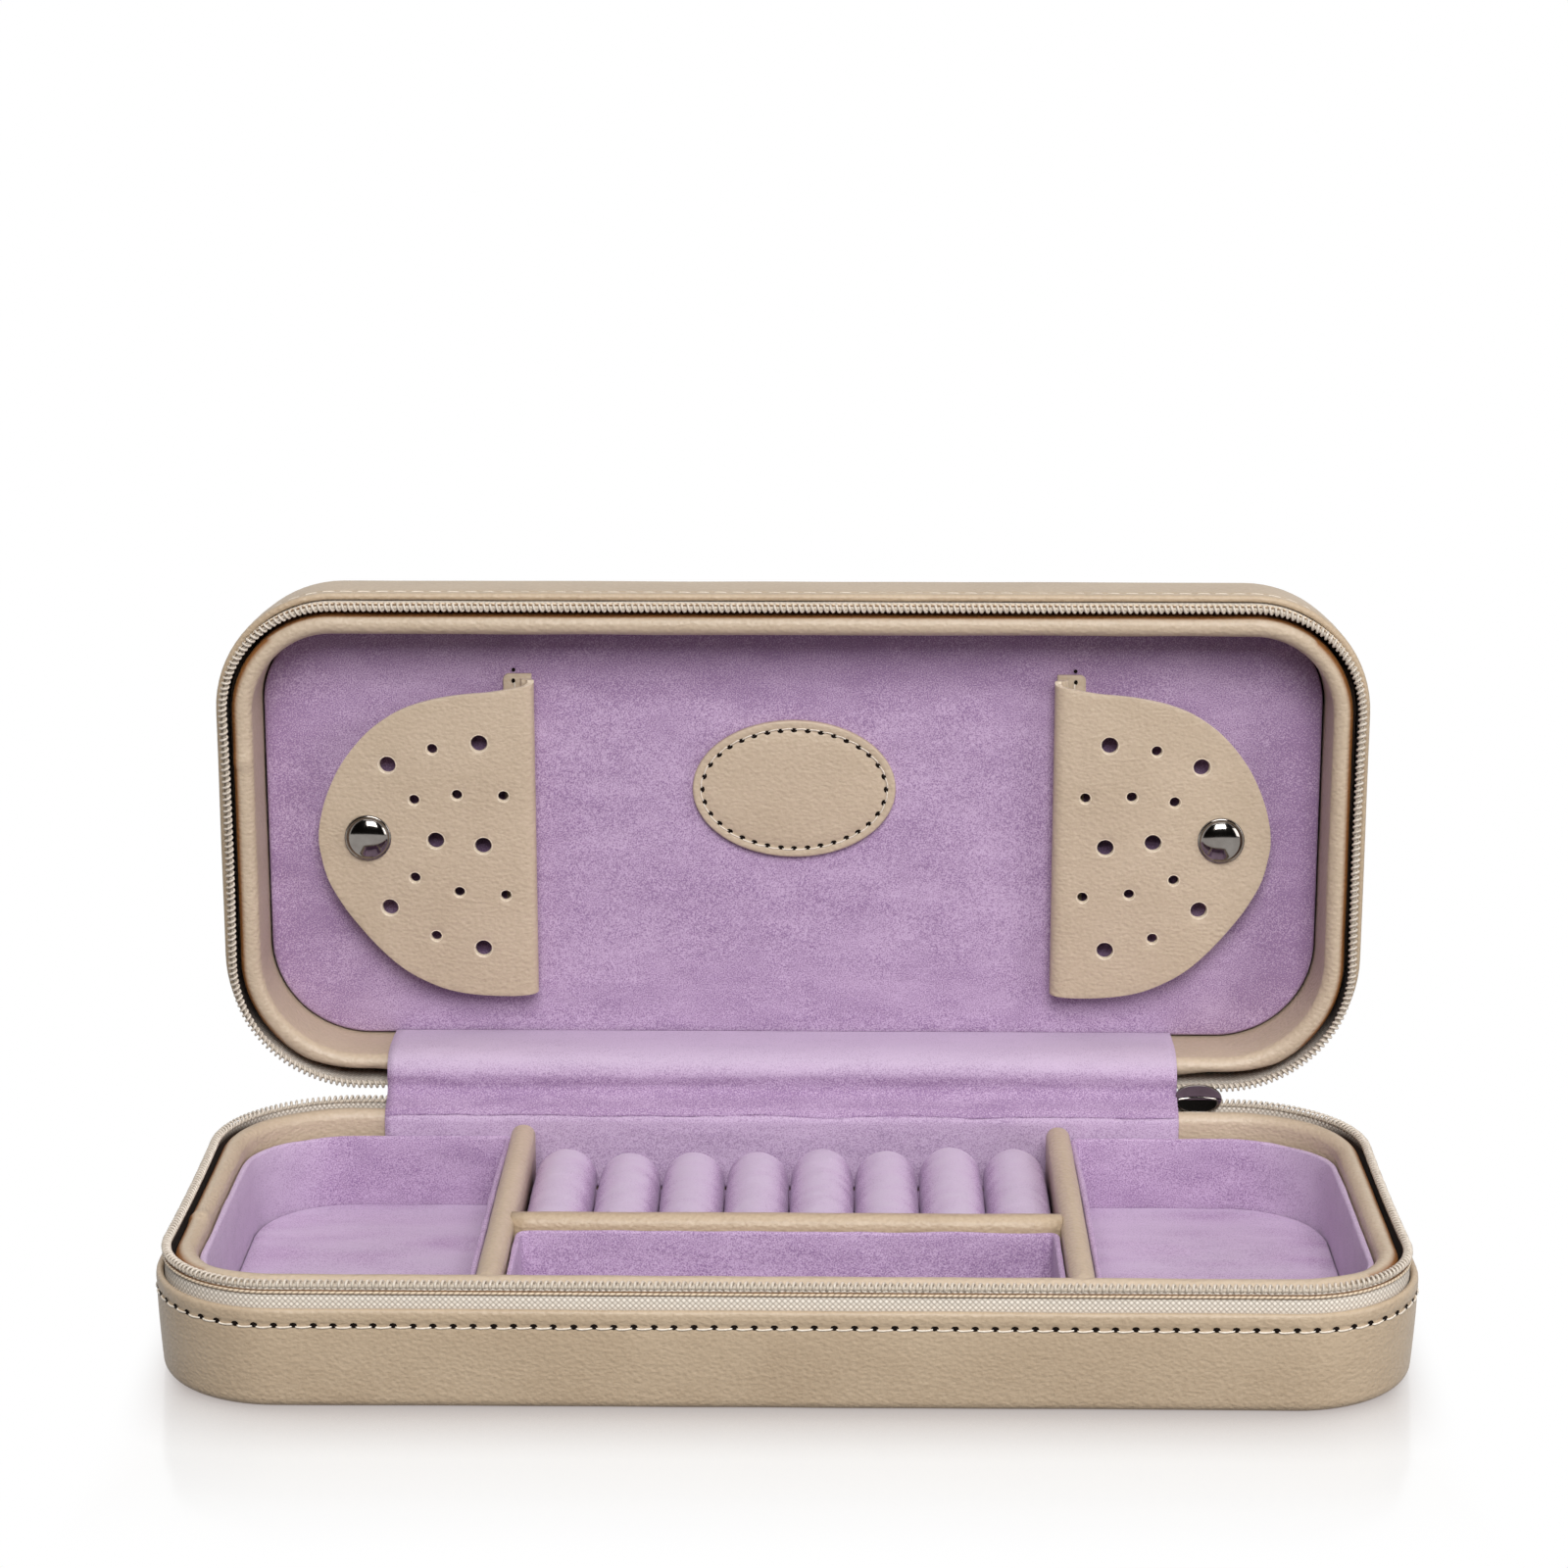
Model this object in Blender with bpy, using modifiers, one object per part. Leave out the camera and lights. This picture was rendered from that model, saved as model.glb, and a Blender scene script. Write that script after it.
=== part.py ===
"""Zip-around jewellery case in two equal halves, shown open at a right angle.

Metres, +Z up, +X to the right, +Y to the back. The origin is the centre of the base's underside.
Both halves are modelled lying on their outer face; the lid's pieces hang from an empty on the hinge.
"""
import math

import bmesh
import bpy
from mathutils import Matrix

# The two shells
CASE_WIDTH = 0.2400
CASE_DEPTH = 0.1070
HINGE_RADIUS = 0.0290
FAR_RADIUS = 0.0250
CORNER_STEPS = 10
SHELL_HEIGHT = 0.0200
BOTTOM_EDGE = 0.0016
LEATHER = 0.0012
BOARD = 0.0010
BOARD_HEIGHT = 0.0160
FIT = 0.0003

# The zip: tape, coil, and the plane where the two rows of teeth meet
ZIP_REACH = 0.0056
COIL_INSET = 0.0009
COIL_WIDTH = 0.0014
COIL_HEIGHT = 0.0016
COIL_EDGE = 0.0004
TIP_GAP = 0.00035
TAPE = 0.0006
TAPE_BELOW_LIP = 0.0060
ZIP_UNDER_STRIP = 0.00115
HINGE_OUTSIDE_COIL = 0.0003

# Leather-wrapped frame inside each shell
RIM_WIDTH = 0.00425
RIM_BELOW_TEETH = 0.0016
ROUND_STEPS = 5

# Velvet trays in the base
LINING = 0.0012
TUB_HEIGHT = 0.0172
TRAY_CORNER = 0.0022
TROUGH_HEIGHT = 0.0180
TROUGH_DEPTH = 0.03155
TRAY_EDGE = 0.0016

# Leather-wrapped dividers
DIVIDER_X = 0.0557
DIVIDER_WIDTH = 0.0050
DIVIDER_ROUND = 0.0022
DIVIDER_TOP = 0.0233
DIVIDER_FROM_STRIP = 0.00325
CROSS_TOP = 0.0230

# Ring rolls on their bed
ROLL_COUNT = 8
ROLL_GAP = 0.00032
ROLL_FROM_STRIP = 0.00665
ROLL_END_ROUND = 0.0012
ROLL_SIDES = 20
BED_THICKNESS = 0.0049
BED_EDGE = 0.0008

# Velvet strip over the hinge, and the outer leather spine
STRIP = 0.0008
STRIP_FROM_CORNER = 0.00775
STRIP_CENTRE_X = -0.0021
STRIP_LOW_END = 0.0085
STRIP_SAG = 0.0022
SPINE_FROM_ZIP = 0.0050
SPINE_STEPS = 8

# Lid panel on its padding
PANEL_DEPTH = 0.0169
PANEL = 0.0015

# The layout on the panel sits a little to the right of its middle
LAYOUT_X = 0.0004

# Oval badge
BADGE_WIDTH = 0.0432
BADGE_HEIGHT = 0.0300
BADGE_THICKNESS = 0.0014
BADGE_EDGE = 0.0004
BADGE_RISE = 0.0097
BADGE_POINTS = 48

# Earring flaps: a half ellipse beyond the fold
FLAP = 0.0014
FLAP_FROM_FRAME = 0.01075
FLAP_REACH = 0.0464
FLAP_HALF_HEIGHT = 0.0345
FLAP_ABOVE_PANEL = 0.0045
FLAP_CURVE_STEPS = 30
FOLD_STEPS = 8
FOLD_TURN_DEG = 210.0
SEAM = 0.0009
SEAM_WIDTH = 0.0052
SEAM_OVERHANG = 0.0007
LARGE_HOLE = 0.0035
SMALL_HOLE = 0.0022
# Places of the holes, as shares of the flap's reach and half height
LARGE_HOLE_SHARES = (
    (0.250, 0.595), (0.668, 0.458), (0.455, -0.016), (0.240, -0.050), (0.672, -0.446), (0.248, -0.707),
)
SMALL_HOLE_SHARES = (
    (0.463, 0.560), (0.550, 0.240), (0.355, 0.272), (0.145, 0.262),
    (0.553, -0.252), (0.352, -0.343), (0.141, -0.368), (0.463, -0.626),
)
HOLE_SIDES = 12

# Snaps: cap and socket on the flap, stud on the panel
SNAP_REACH_SHARE = 0.764
CAP_DIAMETER = 0.0099
CAP_HEIGHT = 0.0023
CAP_LIP = 0.0005
RIVET_DIAMETER = 0.0028
RIVET_HOLE = 0.0036
SOCKET_DIAMETER = 0.0094
SOCKET_ROOF = 0.0006
STUD_DIAMETER = 0.0090
STUD_BASE = 0.0008
STUD_NECK_DIAMETER = 0.0038
STUD_HEAD_DIAMETER = 0.0046
STUD_HEAD = 0.0009
SNAP_PLAY = 0.0003
SNAP_SIDES = 24

# Zip slider, parked at the right end of the hinge, and its pull tab
SLIDER_LENGTH = 0.0094
SLIDER_FROM_STRIP = 0.0003
SLIDER_OUTER_PLATE = 0.0008
SLIDER_INNER_PLATE = 0.0006
SLIDER_INNER_PLAY = 0.0006
SLIDER_WEB = 0.0003
SLIDER_WEB_PLAY = 0.00015
SLIDER_ABOVE_TEETH = 0.0030
SLIDER_ABOVE_RIM = 0.0003
SLIDER_ABOVE_LIP = 0.0006
SLIDER_OUTER_NOSE = 0.0018
SLIDER_INNER_NOSE = 0.0011
BAIL = 0.0008
BAIL_WIDTH = 0.0016
BAIL_OPENING = 0.0020
BAIL_BELOW_TEETH = 0.0008
PULLER = 0.0010
PULLER_WIDTH = 0.0050
PULLER_LENGTH = 0.0175
PULLER_RAIL = 0.0010
PULLER_WINDOW = 0.0045
PULLER_ROUND = 0.0018

# One overrun for every cutter, and the distance within which points are welded
OVERRUN = 0.0020
WELD = 0.000001

TEETH_PLANE = SHELL_HEIGHT + ZIP_REACH
HINGE_Y = CASE_DEPTH / 2 - COIL_INSET + HINGE_OUTSIDE_COIL
TAPE_INSET = LEATHER + FIT
BOARD_INSET = TAPE_INSET + TAPE + FIT
RIM_INSET = BOARD_INSET + BOARD + FIT
CELL_INSET = RIM_INSET + RIM_WIDTH + FIT
BOARD_BOTTOM = LEATHER + FIT
INNER_FLOOR = BOARD_BOTTOM + BOARD + FIT
RIM_TOP = TEETH_PLANE - RIM_BELOW_TEETH
COIL_TOP = TEETH_PLANE - TIP_GAP
PANEL_FRONT = TEETH_PLANE - PANEL_DEPTH
DIVIDER_INNER_X = DIVIDER_X - DIVIDER_WIDTH / 2 - FIT
DIVIDER_OUTER_X = DIVIDER_X + DIVIDER_WIDTH / 2 + FIT
CELL_X = CASE_WIDTH / 2 - CELL_INSET
CELL_Y = CASE_DEPTH / 2 - CELL_INSET
CELL_BACK = CELL_Y - STRIP - FIT
DIVIDER_BACK = CELL_BACK - DIVIDER_FROM_STRIP
CROSS_FRONT = -CELL_Y + TROUGH_DEPTH + FIT
CROSS_BACK = CROSS_FRONT + DIVIDER_WIDTH
ROLL_BACK = CELL_BACK - ROLL_FROM_STRIP
STRIP_WIDTH = CASE_WIDTH - 2 * (HINGE_RADIUS + STRIP_FROM_CORNER)
STRIP_RIGHT = STRIP_CENTRE_X + STRIP_WIDTH / 2
ZIP_END_X = STRIP_RIGHT - ZIP_UNDER_STRIP
SPINE_WIDTH = 2 * (ZIP_END_X - SPINE_FROM_ZIP)
FLAP_FOLD_X = CELL_X - FLAP_FROM_FRAME - FLAP_REACH

for old in list(bpy.data.objects):
    bpy.data.objects.remove(old, do_unlink=True)

parts = bpy.data.collections.new("charm_box")
cutters = bpy.data.collections.new("charm_box_cutters")
bpy.context.scene.collection.children.link(parts)
bpy.context.scene.collection.children.link(cutters)


def make_material(name, color, roughness, metallic=0.0):
    material = bpy.data.materials.new(name)
    material.use_nodes = True
    shader = material.node_tree.nodes["Principled BSDF"]
    shader.inputs["Base Color"].default_value = (*color, 1.0)
    shader.inputs["Roughness"].default_value = roughness
    shader.inputs["Metallic"].default_value = metallic
    material.diffuse_color = (*color, 1.0)
    return material


COLORS = {
    "leather": ((0.52, 0.41, 0.30), 0.45, 0.0),
    "velvet": ((0.42, 0.30, 0.52), 0.95, 0.0),
    "tape": ((0.55, 0.49, 0.40), 0.85, 0.0),
    "coil": ((0.60, 0.52, 0.42), 0.40, 0.0),
    "board": ((0.35, 0.30, 0.24), 0.90, 0.0),
    "chrome": ((0.60, 0.60, 0.60), 0.12, 1.0),
}


def add_empty(name, location, rotation=(0.0, 0.0, 0.0), parent=None):
    empty = bpy.data.objects.new(name, None)
    empty.location = location
    empty.rotation_euler = rotation
    empty.parent = parent
    empty.empty_display_size = SHELL_HEIGHT
    parts.objects.link(empty)
    return empty


def add_mesh(name, bm, look, location=(0.0, 0.0, 0.0), rotation=(0.0, 0.0, 0.0), parent=None):
    """A finished bmesh becomes a named object with its own material."""
    bmesh.ops.remove_doubles(bm, verts=bm.verts, dist=WELD)
    bmesh.ops.recalc_face_normals(bm, faces=bm.faces)
    mesh = bpy.data.meshes.new(name)
    bm.to_mesh(mesh)
    bm.free()
    obj = bpy.data.objects.new(name, mesh)
    obj.location = location
    obj.rotation_euler = rotation
    obj.parent = parent
    if look is None:
        cutters.objects.link(obj)
        obj.hide_render = True
        obj.display_type = "WIRE"
        return obj
    parts.objects.link(obj)
    mesh.materials.append(make_material(name, *COLORS[look]))
    mesh.shade_smooth()
    mesh.set_sharp_from_angle(angle=math.radians(35.0))
    return obj


def corner_rect(x0, x1, y0, y1, radii, steps):
    """Outline of a rectangle with round corners: back right, back left, front left, front right."""
    centres = ((x1, y1, -1, -1), (x0, y1, 1, -1), (x0, y0, 1, 1), (x1, y0, -1, 1))
    points = []
    for corner, (x, y, to_x, to_y) in enumerate(centres):
        radius = radii[corner]
        for step in range(steps + 1):
            angle = math.radians(90.0) * (corner + step / steps)
            points.append((
                x + to_x * radius + radius * math.cos(angle),
                y + to_y * radius + radius * math.sin(angle),
            ))
    return points


def corner_radii(inset, hinge_side):
    """Radii of the case's four corners, drawn in by an inset. The hinge is at the back or the front."""
    hinge, far = HINGE_RADIUS - inset, FAR_RADIUS - inset
    return (hinge, hinge, far, far) if hinge_side > 0 else (far, far, hinge, hinge)


def case_outline(inset, hinge_side):
    """The case's outline, drawn in by an inset."""
    half_x = CASE_WIDTH / 2 - inset
    half_y = CASE_DEPTH / 2 - inset
    return corner_rect(-half_x, half_x, -half_y, half_y, corner_radii(inset, hinge_side), CORNER_STEPS)


def zip_outline(inset, hinge_side):
    """The way round from one end of the hinge, past the far side, to its other end."""
    points = case_outline(inset, 1)
    near_corner = points[:CORNER_STEPS + 1][::-1]
    rest = points[CORNER_STEPS + 1:][::-1]
    back = CASE_DEPTH / 2 - inset
    way = [(ZIP_END_X, back)] + near_corner + rest + [(-ZIP_END_X, back)]
    return [(x, hinge_side * y) for x, y in way]


def poly_curve(name, loops, cyclic=True):
    curve = bpy.data.curves.new(name, "CURVE")
    curve.dimensions = "2D"
    for points in loops:
        spline = curve.splines.new("POLY")
        spline.points.add(len(points) - 1)
        for point, (x, y) in zip(spline.points, points):
            point.co = (x, y, 0.0, 1.0)
        spline.use_cyclic_u = cyclic
    return curve


def curve_to_bmesh(curve):
    """The curve's evaluated surface, as a bmesh."""
    holder = bpy.data.objects.new(curve.name, curve)
    parts.objects.link(holder)
    bpy.context.view_layer.update()
    evaluated = holder.evaluated_get(bpy.context.evaluated_depsgraph_get())
    mesh = bpy.data.meshes.new_from_object(evaluated)
    bm = bmesh.new()
    bm.from_mesh(mesh)
    bmesh.ops.transform(bm, matrix=holder.matrix_world, verts=bm.verts)
    bpy.data.objects.remove(holder, do_unlink=True)
    bpy.data.meshes.remove(mesh)
    bmesh.ops.remove_doubles(bm, verts=bm.verts, dist=WELD)
    return bm


def flat_bmesh(loops, thickness):
    """A flat outline, with any holes, extruded to a thickness about its own plane."""
    curve = poly_curve("outline", loops)
    curve.fill_mode = "BOTH"
    curve.extrude = thickness / 2
    return curve_to_bmesh(curve)


def band_bmesh(path, profile, cyclic):
    """A profile carried along a flat path. The profile's first axis is across, its second is up."""
    curve = poly_curve("band", [path], cyclic)
    section = bpy.data.objects.new("section", poly_curve("section", [profile]))
    parts.objects.link(section)
    curve.bevel_mode = "OBJECT"
    curve.bevel_object = section
    curve.use_fill_caps = not cyclic
    bm = curve_to_bmesh(curve)
    bpy.data.objects.remove(section, do_unlink=True)
    return bm


def round_top_profile(width, low, high, radius):
    """Section of a bar whose two top edges are rounded, as seen along the bar."""
    points = [(-width / 2, low), (width / 2, low)]
    for side, start in ((1, 0.0), (-1, 90.0)):
        for step in range(ROUND_STEPS + 1):
            angle = math.radians(start + 90.0 * step / ROUND_STEPS)
            points.append((side * (width / 2 - radius) + radius * math.cos(angle),
                           high - radius + radius * math.sin(angle)))
    return points


def box_bmesh(x0, x1, y0, y1, z0, z1):
    bm = bmesh.new()
    bmesh.ops.create_cube(bm, size=1.0)
    bmesh.ops.scale(bm, vec=(x1 - x0, y1 - y0, z1 - z0), verts=bm.verts)
    bmesh.ops.translate(bm, vec=((x0 + x1) / 2, (y0 + y1) / 2, (z0 + z1) / 2), verts=bm.verts)
    return bm


def round_edges(bm, edges, radius, steps):
    bmesh.ops.bevel(bm, geom=edges, offset=radius, offset_type="OFFSET", segments=steps, profile=0.5,
                    affect="EDGES", material=-1)


def add_tray(name, look, x0, x1, y0, y1, z0, z1, radii, wall, edge, parent=None, location=(0.0, 0.0, 0.0)):
    """An open tray: a floor outline drawn up to its walls, thickened inwards, with a round bottom edge."""
    bm = bmesh.new()
    verts = [bm.verts.new((x, y, z0)) for x, y in corner_rect(x0, x1, y0, y1, radii, CORNER_STEPS)]
    bmesh.ops.remove_doubles(bm, verts=verts, dist=WELD)
    floor = bm.faces.new(bm.verts[:])
    walls = bmesh.ops.extrude_edge_only(bm, edges=floor.edges[:])
    top = [item for item in walls["geom"] if isinstance(item, bmesh.types.BMVert)]
    bmesh.ops.translate(bm, vec=(0.0, 0.0, z1 - z0), verts=top)
    round_edges(bm, floor.edges[:], edge, 2)
    tray = add_mesh(name, bm, look, location=location, parent=parent)
    shell = tray.modifiers.new("wall", "SOLIDIFY")
    shell.thickness = wall
    shell.offset = -1.0
    shell.use_even_offset = True
    return tray


def add_half(prefix, hinge_side, parent, location):
    """Shell, stiffening board, zip tape, zip coil and leather-wrapped frame of one half."""
    half_x, half_y = CASE_WIDTH / 2, CASE_DEPTH / 2
    add_tray(prefix + "_cover", "leather", -half_x, half_x, -half_y, half_y, 0.0, SHELL_HEIGHT,
             corner_radii(0.0, hinge_side), LEATHER, BOTTOM_EDGE, parent, location)
    board_x, board_y = half_x - BOARD_INSET, half_y - BOARD_INSET
    add_tray(prefix + "_board", "board", -board_x, board_x, -board_y, board_y, BOARD_BOTTOM, BOARD_HEIGHT,
             corner_radii(BOARD_INSET, hinge_side), BOARD, TRAY_EDGE, parent, location)
    coil_low = COIL_TOP - COIL_HEIGHT
    tape = [(-TAPE / 2, SHELL_HEIGHT - TAPE_BELOW_LIP), (TAPE / 2, SHELL_HEIGHT - TAPE_BELOW_LIP),
            (TAPE / 2, coil_low - FIT), (-TAPE / 2, coil_low - FIT)]
    tape_path = zip_outline(TAPE_INSET + TAPE / 2, hinge_side)
    add_mesh(prefix + "_zip_tape", band_bmesh(tape_path, tape, False), "tape",
             location=location, parent=parent)
    coil_path = zip_outline(COIL_INSET + COIL_WIDTH / 2, hinge_side)
    coil = round_top_profile(COIL_WIDTH, coil_low, COIL_TOP, COIL_EDGE)
    add_mesh(prefix + "_zip_coil", band_bmesh(coil_path, coil, False), "coil",
             location=location, parent=parent)
    rim = round_top_profile(RIM_WIDTH, INNER_FLOOR, RIM_TOP, RIM_WIDTH / 2 - COIL_EDGE / 2)
    rim_path = case_outline(RIM_INSET + RIM_WIDTH / 2, hinge_side)
    add_mesh(prefix + "_rim", band_bmesh(rim_path, rim, True), "leather", location=location, parent=parent)


def add_bar(name, x0, x1, y0, y1, top, round_ends):
    """A leather-wrapped divider: a bar with a round top, and round ends where they show."""
    bm = box_bmesh(x0, x1, y0, y1, INNER_FLOOR, top)
    rounded = []
    for edge in bm.edges:
        a, b = (vert.co for vert in edge.verts)
        along = abs(a.x - b.x) if x1 - x0 > y1 - y0 else abs(a.y - b.y)
        on_top = min(a.z, b.z) > top - WELD
        if on_top and (along > DIVIDER_WIDTH or round_ends):
            rounded.append(edge)
        elif round_ends and abs(a.z - b.z) > DIVIDER_WIDTH:
            rounded.append(edge)
    round_edges(bm, rounded, DIVIDER_ROUND, ROUND_STEPS)
    return add_mesh(name, bm, "leather")


def add_turned(name, look, profile, sides, location, rotation=(0.0, 0.0, 0.0), parent=None):
    """A profile of (radius, height) points, from the top of the axis down its outer side, turned round."""
    bm = bmesh.new()
    verts = [bm.verts.new((radius, 0.0, height)) for radius, height in profile]
    for upper, lower in zip(verts, verts[1:]):
        bm.edges.new((upper, lower))
    mesh = bpy.data.meshes.new(name)
    bm.to_mesh(mesh)
    bm.free()
    obj = bpy.data.objects.new(name, mesh)
    obj.location = location
    obj.rotation_euler = rotation
    obj.parent = parent
    parts.objects.link(obj)
    mesh.materials.append(make_material(name, *COLORS[look]))
    screw = obj.modifiers.new("turn", "SCREW")
    screw.steps = sides
    screw.render_steps = sides
    screw.use_merge_vertices = True
    screw.merge_threshold = WELD
    screw.use_smooth_shade = True
    return obj


def dome(radius, height, top, steps):
    """Quarter ellipse from the crown of a dome down to its edge."""
    points = []
    for step in range(steps + 1):
        angle = math.radians(90.0) * step / steps
        points.append((radius * math.sin(angle), top - height + height * math.cos(angle)))
    return points


def add_sheet(name, look, line, centre_x, width, thickness):
    """A thin sheet whose side view, in Y and Z, is a line, and which runs along X."""
    curve = poly_curve(name, [line], cyclic=False)
    curve.extrude = width / 2
    bm = curve_to_bmesh(curve)
    sheet = add_mesh(name, bm, look, (centre_x, 0.0, 0.0), (math.radians(90.0), 0.0, math.radians(90.0)))
    shell = sheet.modifiers.new("thickness", "SOLIDIFY")
    shell.thickness = thickness
    shell.offset = 0.0
    shell.use_even_offset = True
    return sheet


def cut(obj, cutter, operation="DIFFERENCE"):
    boolean = obj.modifiers.new(cutter.name, "BOOLEAN")
    boolean.operation = operation
    boolean.object = cutter
    boolean.solver = "EXACT"


# The lid lies on its outer face in its own frame; the empty on the hinge stands it up.
lid_pivot = add_empty("lid_pivot", (0.0, HINGE_Y, TEETH_PLANE), (math.radians(90.0), 0.0, 0.0))
LID_PLACE = (0.0, HINGE_Y, -TEETH_PLANE)

add_half("base", 1, None, (0.0, 0.0, 0.0))
add_half("lid", -1, lid_pivot, LID_PLACE)

# Velvet trays in the base
for side, name in ((-1, "tub_left"), (1, "tub_right")):
    back, front = corner_radii(CELL_INSET, 1)[1:3]
    xs = sorted((side * DIVIDER_OUTER_X, side * CELL_X))
    radii = (back, TRAY_CORNER, TRAY_CORNER, front) if side > 0 else (TRAY_CORNER, back, front, TRAY_CORNER)
    add_tray(name, "velvet", xs[0], xs[1], -CELL_Y, CELL_BACK, INNER_FLOOR, INNER_FLOOR + TUB_HEIGHT,
             radii, LINING, TRAY_EDGE)
add_tray("trough_front", "velvet", -DIVIDER_INNER_X, DIVIDER_INNER_X, -CELL_Y, CROSS_FRONT - FIT,
         INNER_FLOOR, INNER_FLOOR + TROUGH_HEIGHT, (TRAY_CORNER,) * 4, LINING, TRAY_EDGE)

# Dividers
for side, name in ((-1, "divider_left"), (1, "divider_right")):
    middle = side * DIVIDER_X
    add_bar(name, middle - DIVIDER_WIDTH / 2, middle + DIVIDER_WIDTH / 2, -CELL_Y, DIVIDER_BACK,
            DIVIDER_TOP, True)
add_bar("divider_cross", -DIVIDER_INNER_X, DIVIDER_INNER_X, CROSS_FRONT, CROSS_BACK, CROSS_TOP, False)

# Ring bed and rolls
bed_top = INNER_FLOOR + BED_THICKNESS
bed = box_bmesh(-DIVIDER_INNER_X, DIVIDER_INNER_X, CROSS_BACK + FIT, CELL_BACK, INNER_FLOOR, bed_top)
round_edges(bed, bed.edges[:], BED_EDGE, 2)
add_mesh("ring_bed", bed, "velvet")
roll_pitch = 2 * DIVIDER_INNER_X / ROLL_COUNT
roll_radius = (roll_pitch - ROLL_GAP) / 2
roll_length = ROLL_BACK - CROSS_BACK - FIT
for index in range(ROLL_COUNT):
    profile = dome(roll_radius, roll_radius, roll_length, ROUND_STEPS)
    profile += [(roll_radius, ROLL_END_ROUND), (roll_radius - ROLL_END_ROUND, 0.0), (0.0, 0.0)]
    x = (index + 1 / 2) * roll_pitch - DIVIDER_INNER_X
    add_turned("ring_roll_%d" % (index + 1), "velvet", profile, ROLL_SIDES,
               (x, CROSS_BACK + FIT, bed_top + FIT + roll_radius), (math.radians(-90.0), 0.0, 0.0))

# Velvet strip: from the lid's panel, over both frames, down behind the trays
strip_off = FIT + STRIP / 2
lid_rim_inner = TEETH_PLANE + HINGE_Y - CASE_DEPTH / 2 + RIM_INSET + RIM_WIDTH
lid_rim_front = HINGE_Y + RIM_BELOW_TEETH
base_rim_middle = CASE_DEPTH / 2 - RIM_INSET - RIM_WIDTH / 2
round_reach = RIM_WIDTH / 2 + strip_off
line = [(HINGE_Y + PANEL_DEPTH - strip_off, lid_rim_inner + strip_off)]
for step in range(ROUND_STEPS + 1):
    angle = math.radians(90.0) * (1 + step / ROUND_STEPS)
    line.append((lid_rim_front + RIM_WIDTH / 2 + round_reach * math.cos(angle),
                 lid_rim_inner - RIM_WIDTH / 2 + round_reach * math.sin(angle)))
span_from, span_to = line[-1], (base_rim_middle, RIM_TOP + strip_off)
for step in range(1, ROUND_STEPS):
    along = step / ROUND_STEPS
    sag = STRIP_SAG * math.sin(math.pi * along)
    line.append((span_from[0] + (span_to[0] - span_from[0]) * along - sag / 2,
                 span_from[1] + (span_to[1] - span_from[1]) * along - sag / 2))
for step in range(ROUND_STEPS + 1):
    angle = math.radians(90.0) * (1 + step / ROUND_STEPS)
    line.append((base_rim_middle + round_reach * math.cos(angle),
                 RIM_TOP - RIM_WIDTH / 2 + round_reach * math.sin(angle)))
line.append((base_rim_middle - round_reach, STRIP_LOW_END))
add_sheet("velvet_hinge", "velvet", line, STRIP_CENTRE_X, STRIP_WIDTH, STRIP)

# Outer spine: a quarter round from the base's lip to the lid's lip
spine_radius = HINGE_Y + ZIP_REACH - CASE_DEPTH / 2 + LEATHER / 2 - FIT
spine = []
for step in range(SPINE_STEPS + 1):
    angle = math.radians(180.0 - 90.0 * step / SPINE_STEPS)
    spine.append((CASE_DEPTH / 2 - LEATHER / 2 + spine_radius * (1 + math.cos(angle)),
                  SHELL_HEIGHT + FIT + spine_radius * math.sin(angle)))
add_sheet("spine", "leather", spine, 0.0, SPINE_WIDTH, LEATHER)

# Lid: padding, velvet panel and badge
pad_top = PANEL_FRONT - PANEL - FIT
panel_outline = case_outline(CELL_INSET, -1)


def add_plate(name, look, loops, low, high, edge=None):
    """A flat plate of the lid, between two heights above its outer face."""
    bm = flat_bmesh(loops, high - low)
    bmesh.ops.translate(bm, vec=(0.0, 0.0, (low + high) / 2), verts=bm.verts)
    plate = add_mesh(name, bm, look, location=LID_PLACE, parent=lid_pivot)
    if edge is not None:
        soften = plate.modifiers.new("edge", "BEVEL")
        soften.width = edge
        soften.segments = 2
        soften.limit_method = "ANGLE"
        soften.angle_limit = math.radians(60.0)
    return plate


add_plate("lid_pad", "board", [panel_outline], INNER_FLOOR, pad_top)
add_plate("lid_panel", "velvet", [panel_outline], PANEL_FRONT - PANEL, PANEL_FRONT)
oval = []
for step in range(BADGE_POINTS):
    angle = 2 * math.pi * step / BADGE_POINTS
    oval.append((LAYOUT_X + BADGE_WIDTH / 2 * math.cos(angle),
                 BADGE_RISE + BADGE_HEIGHT / 2 * math.sin(angle)))
badge_low = PANEL_FRONT + FIT
add_plate("badge", "leather", [oval], badge_low, badge_low + BADGE_THICKNESS, BADGE_EDGE)

# Earring flaps, each on an empty on its fold
flap_low = PANEL_FRONT + FLAP_ABOVE_PANEL
fold_outer = (flap_low + FLAP - PANEL_FRONT - FIT - SEAM - FIT) / 2
fold_middle = fold_outer - FLAP / 2
fold_height = flap_low + FLAP - fold_outer
flap_top = fold_outer
flap_under = flap_top - FLAP
snap_reach = FLAP_REACH * SNAP_REACH_SHARE - fold_outer


def add_hole_cutter(name, places, parent):
    """Upright pins for the punched holes, as one cutter."""
    bm = bmesh.new()
    for x, y, diameter in places:
        pin = bmesh.ops.create_cone(bm, cap_ends=True, segments=HOLE_SIDES, radius1=diameter / 2,
                                    radius2=diameter / 2, depth=FLAP + 2 * OVERRUN)
        bmesh.ops.translate(bm, vec=(x, y, flap_top - FLAP / 2), verts=pin["verts"])
    return add_mesh(name, bm, None, parent=parent)


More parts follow.
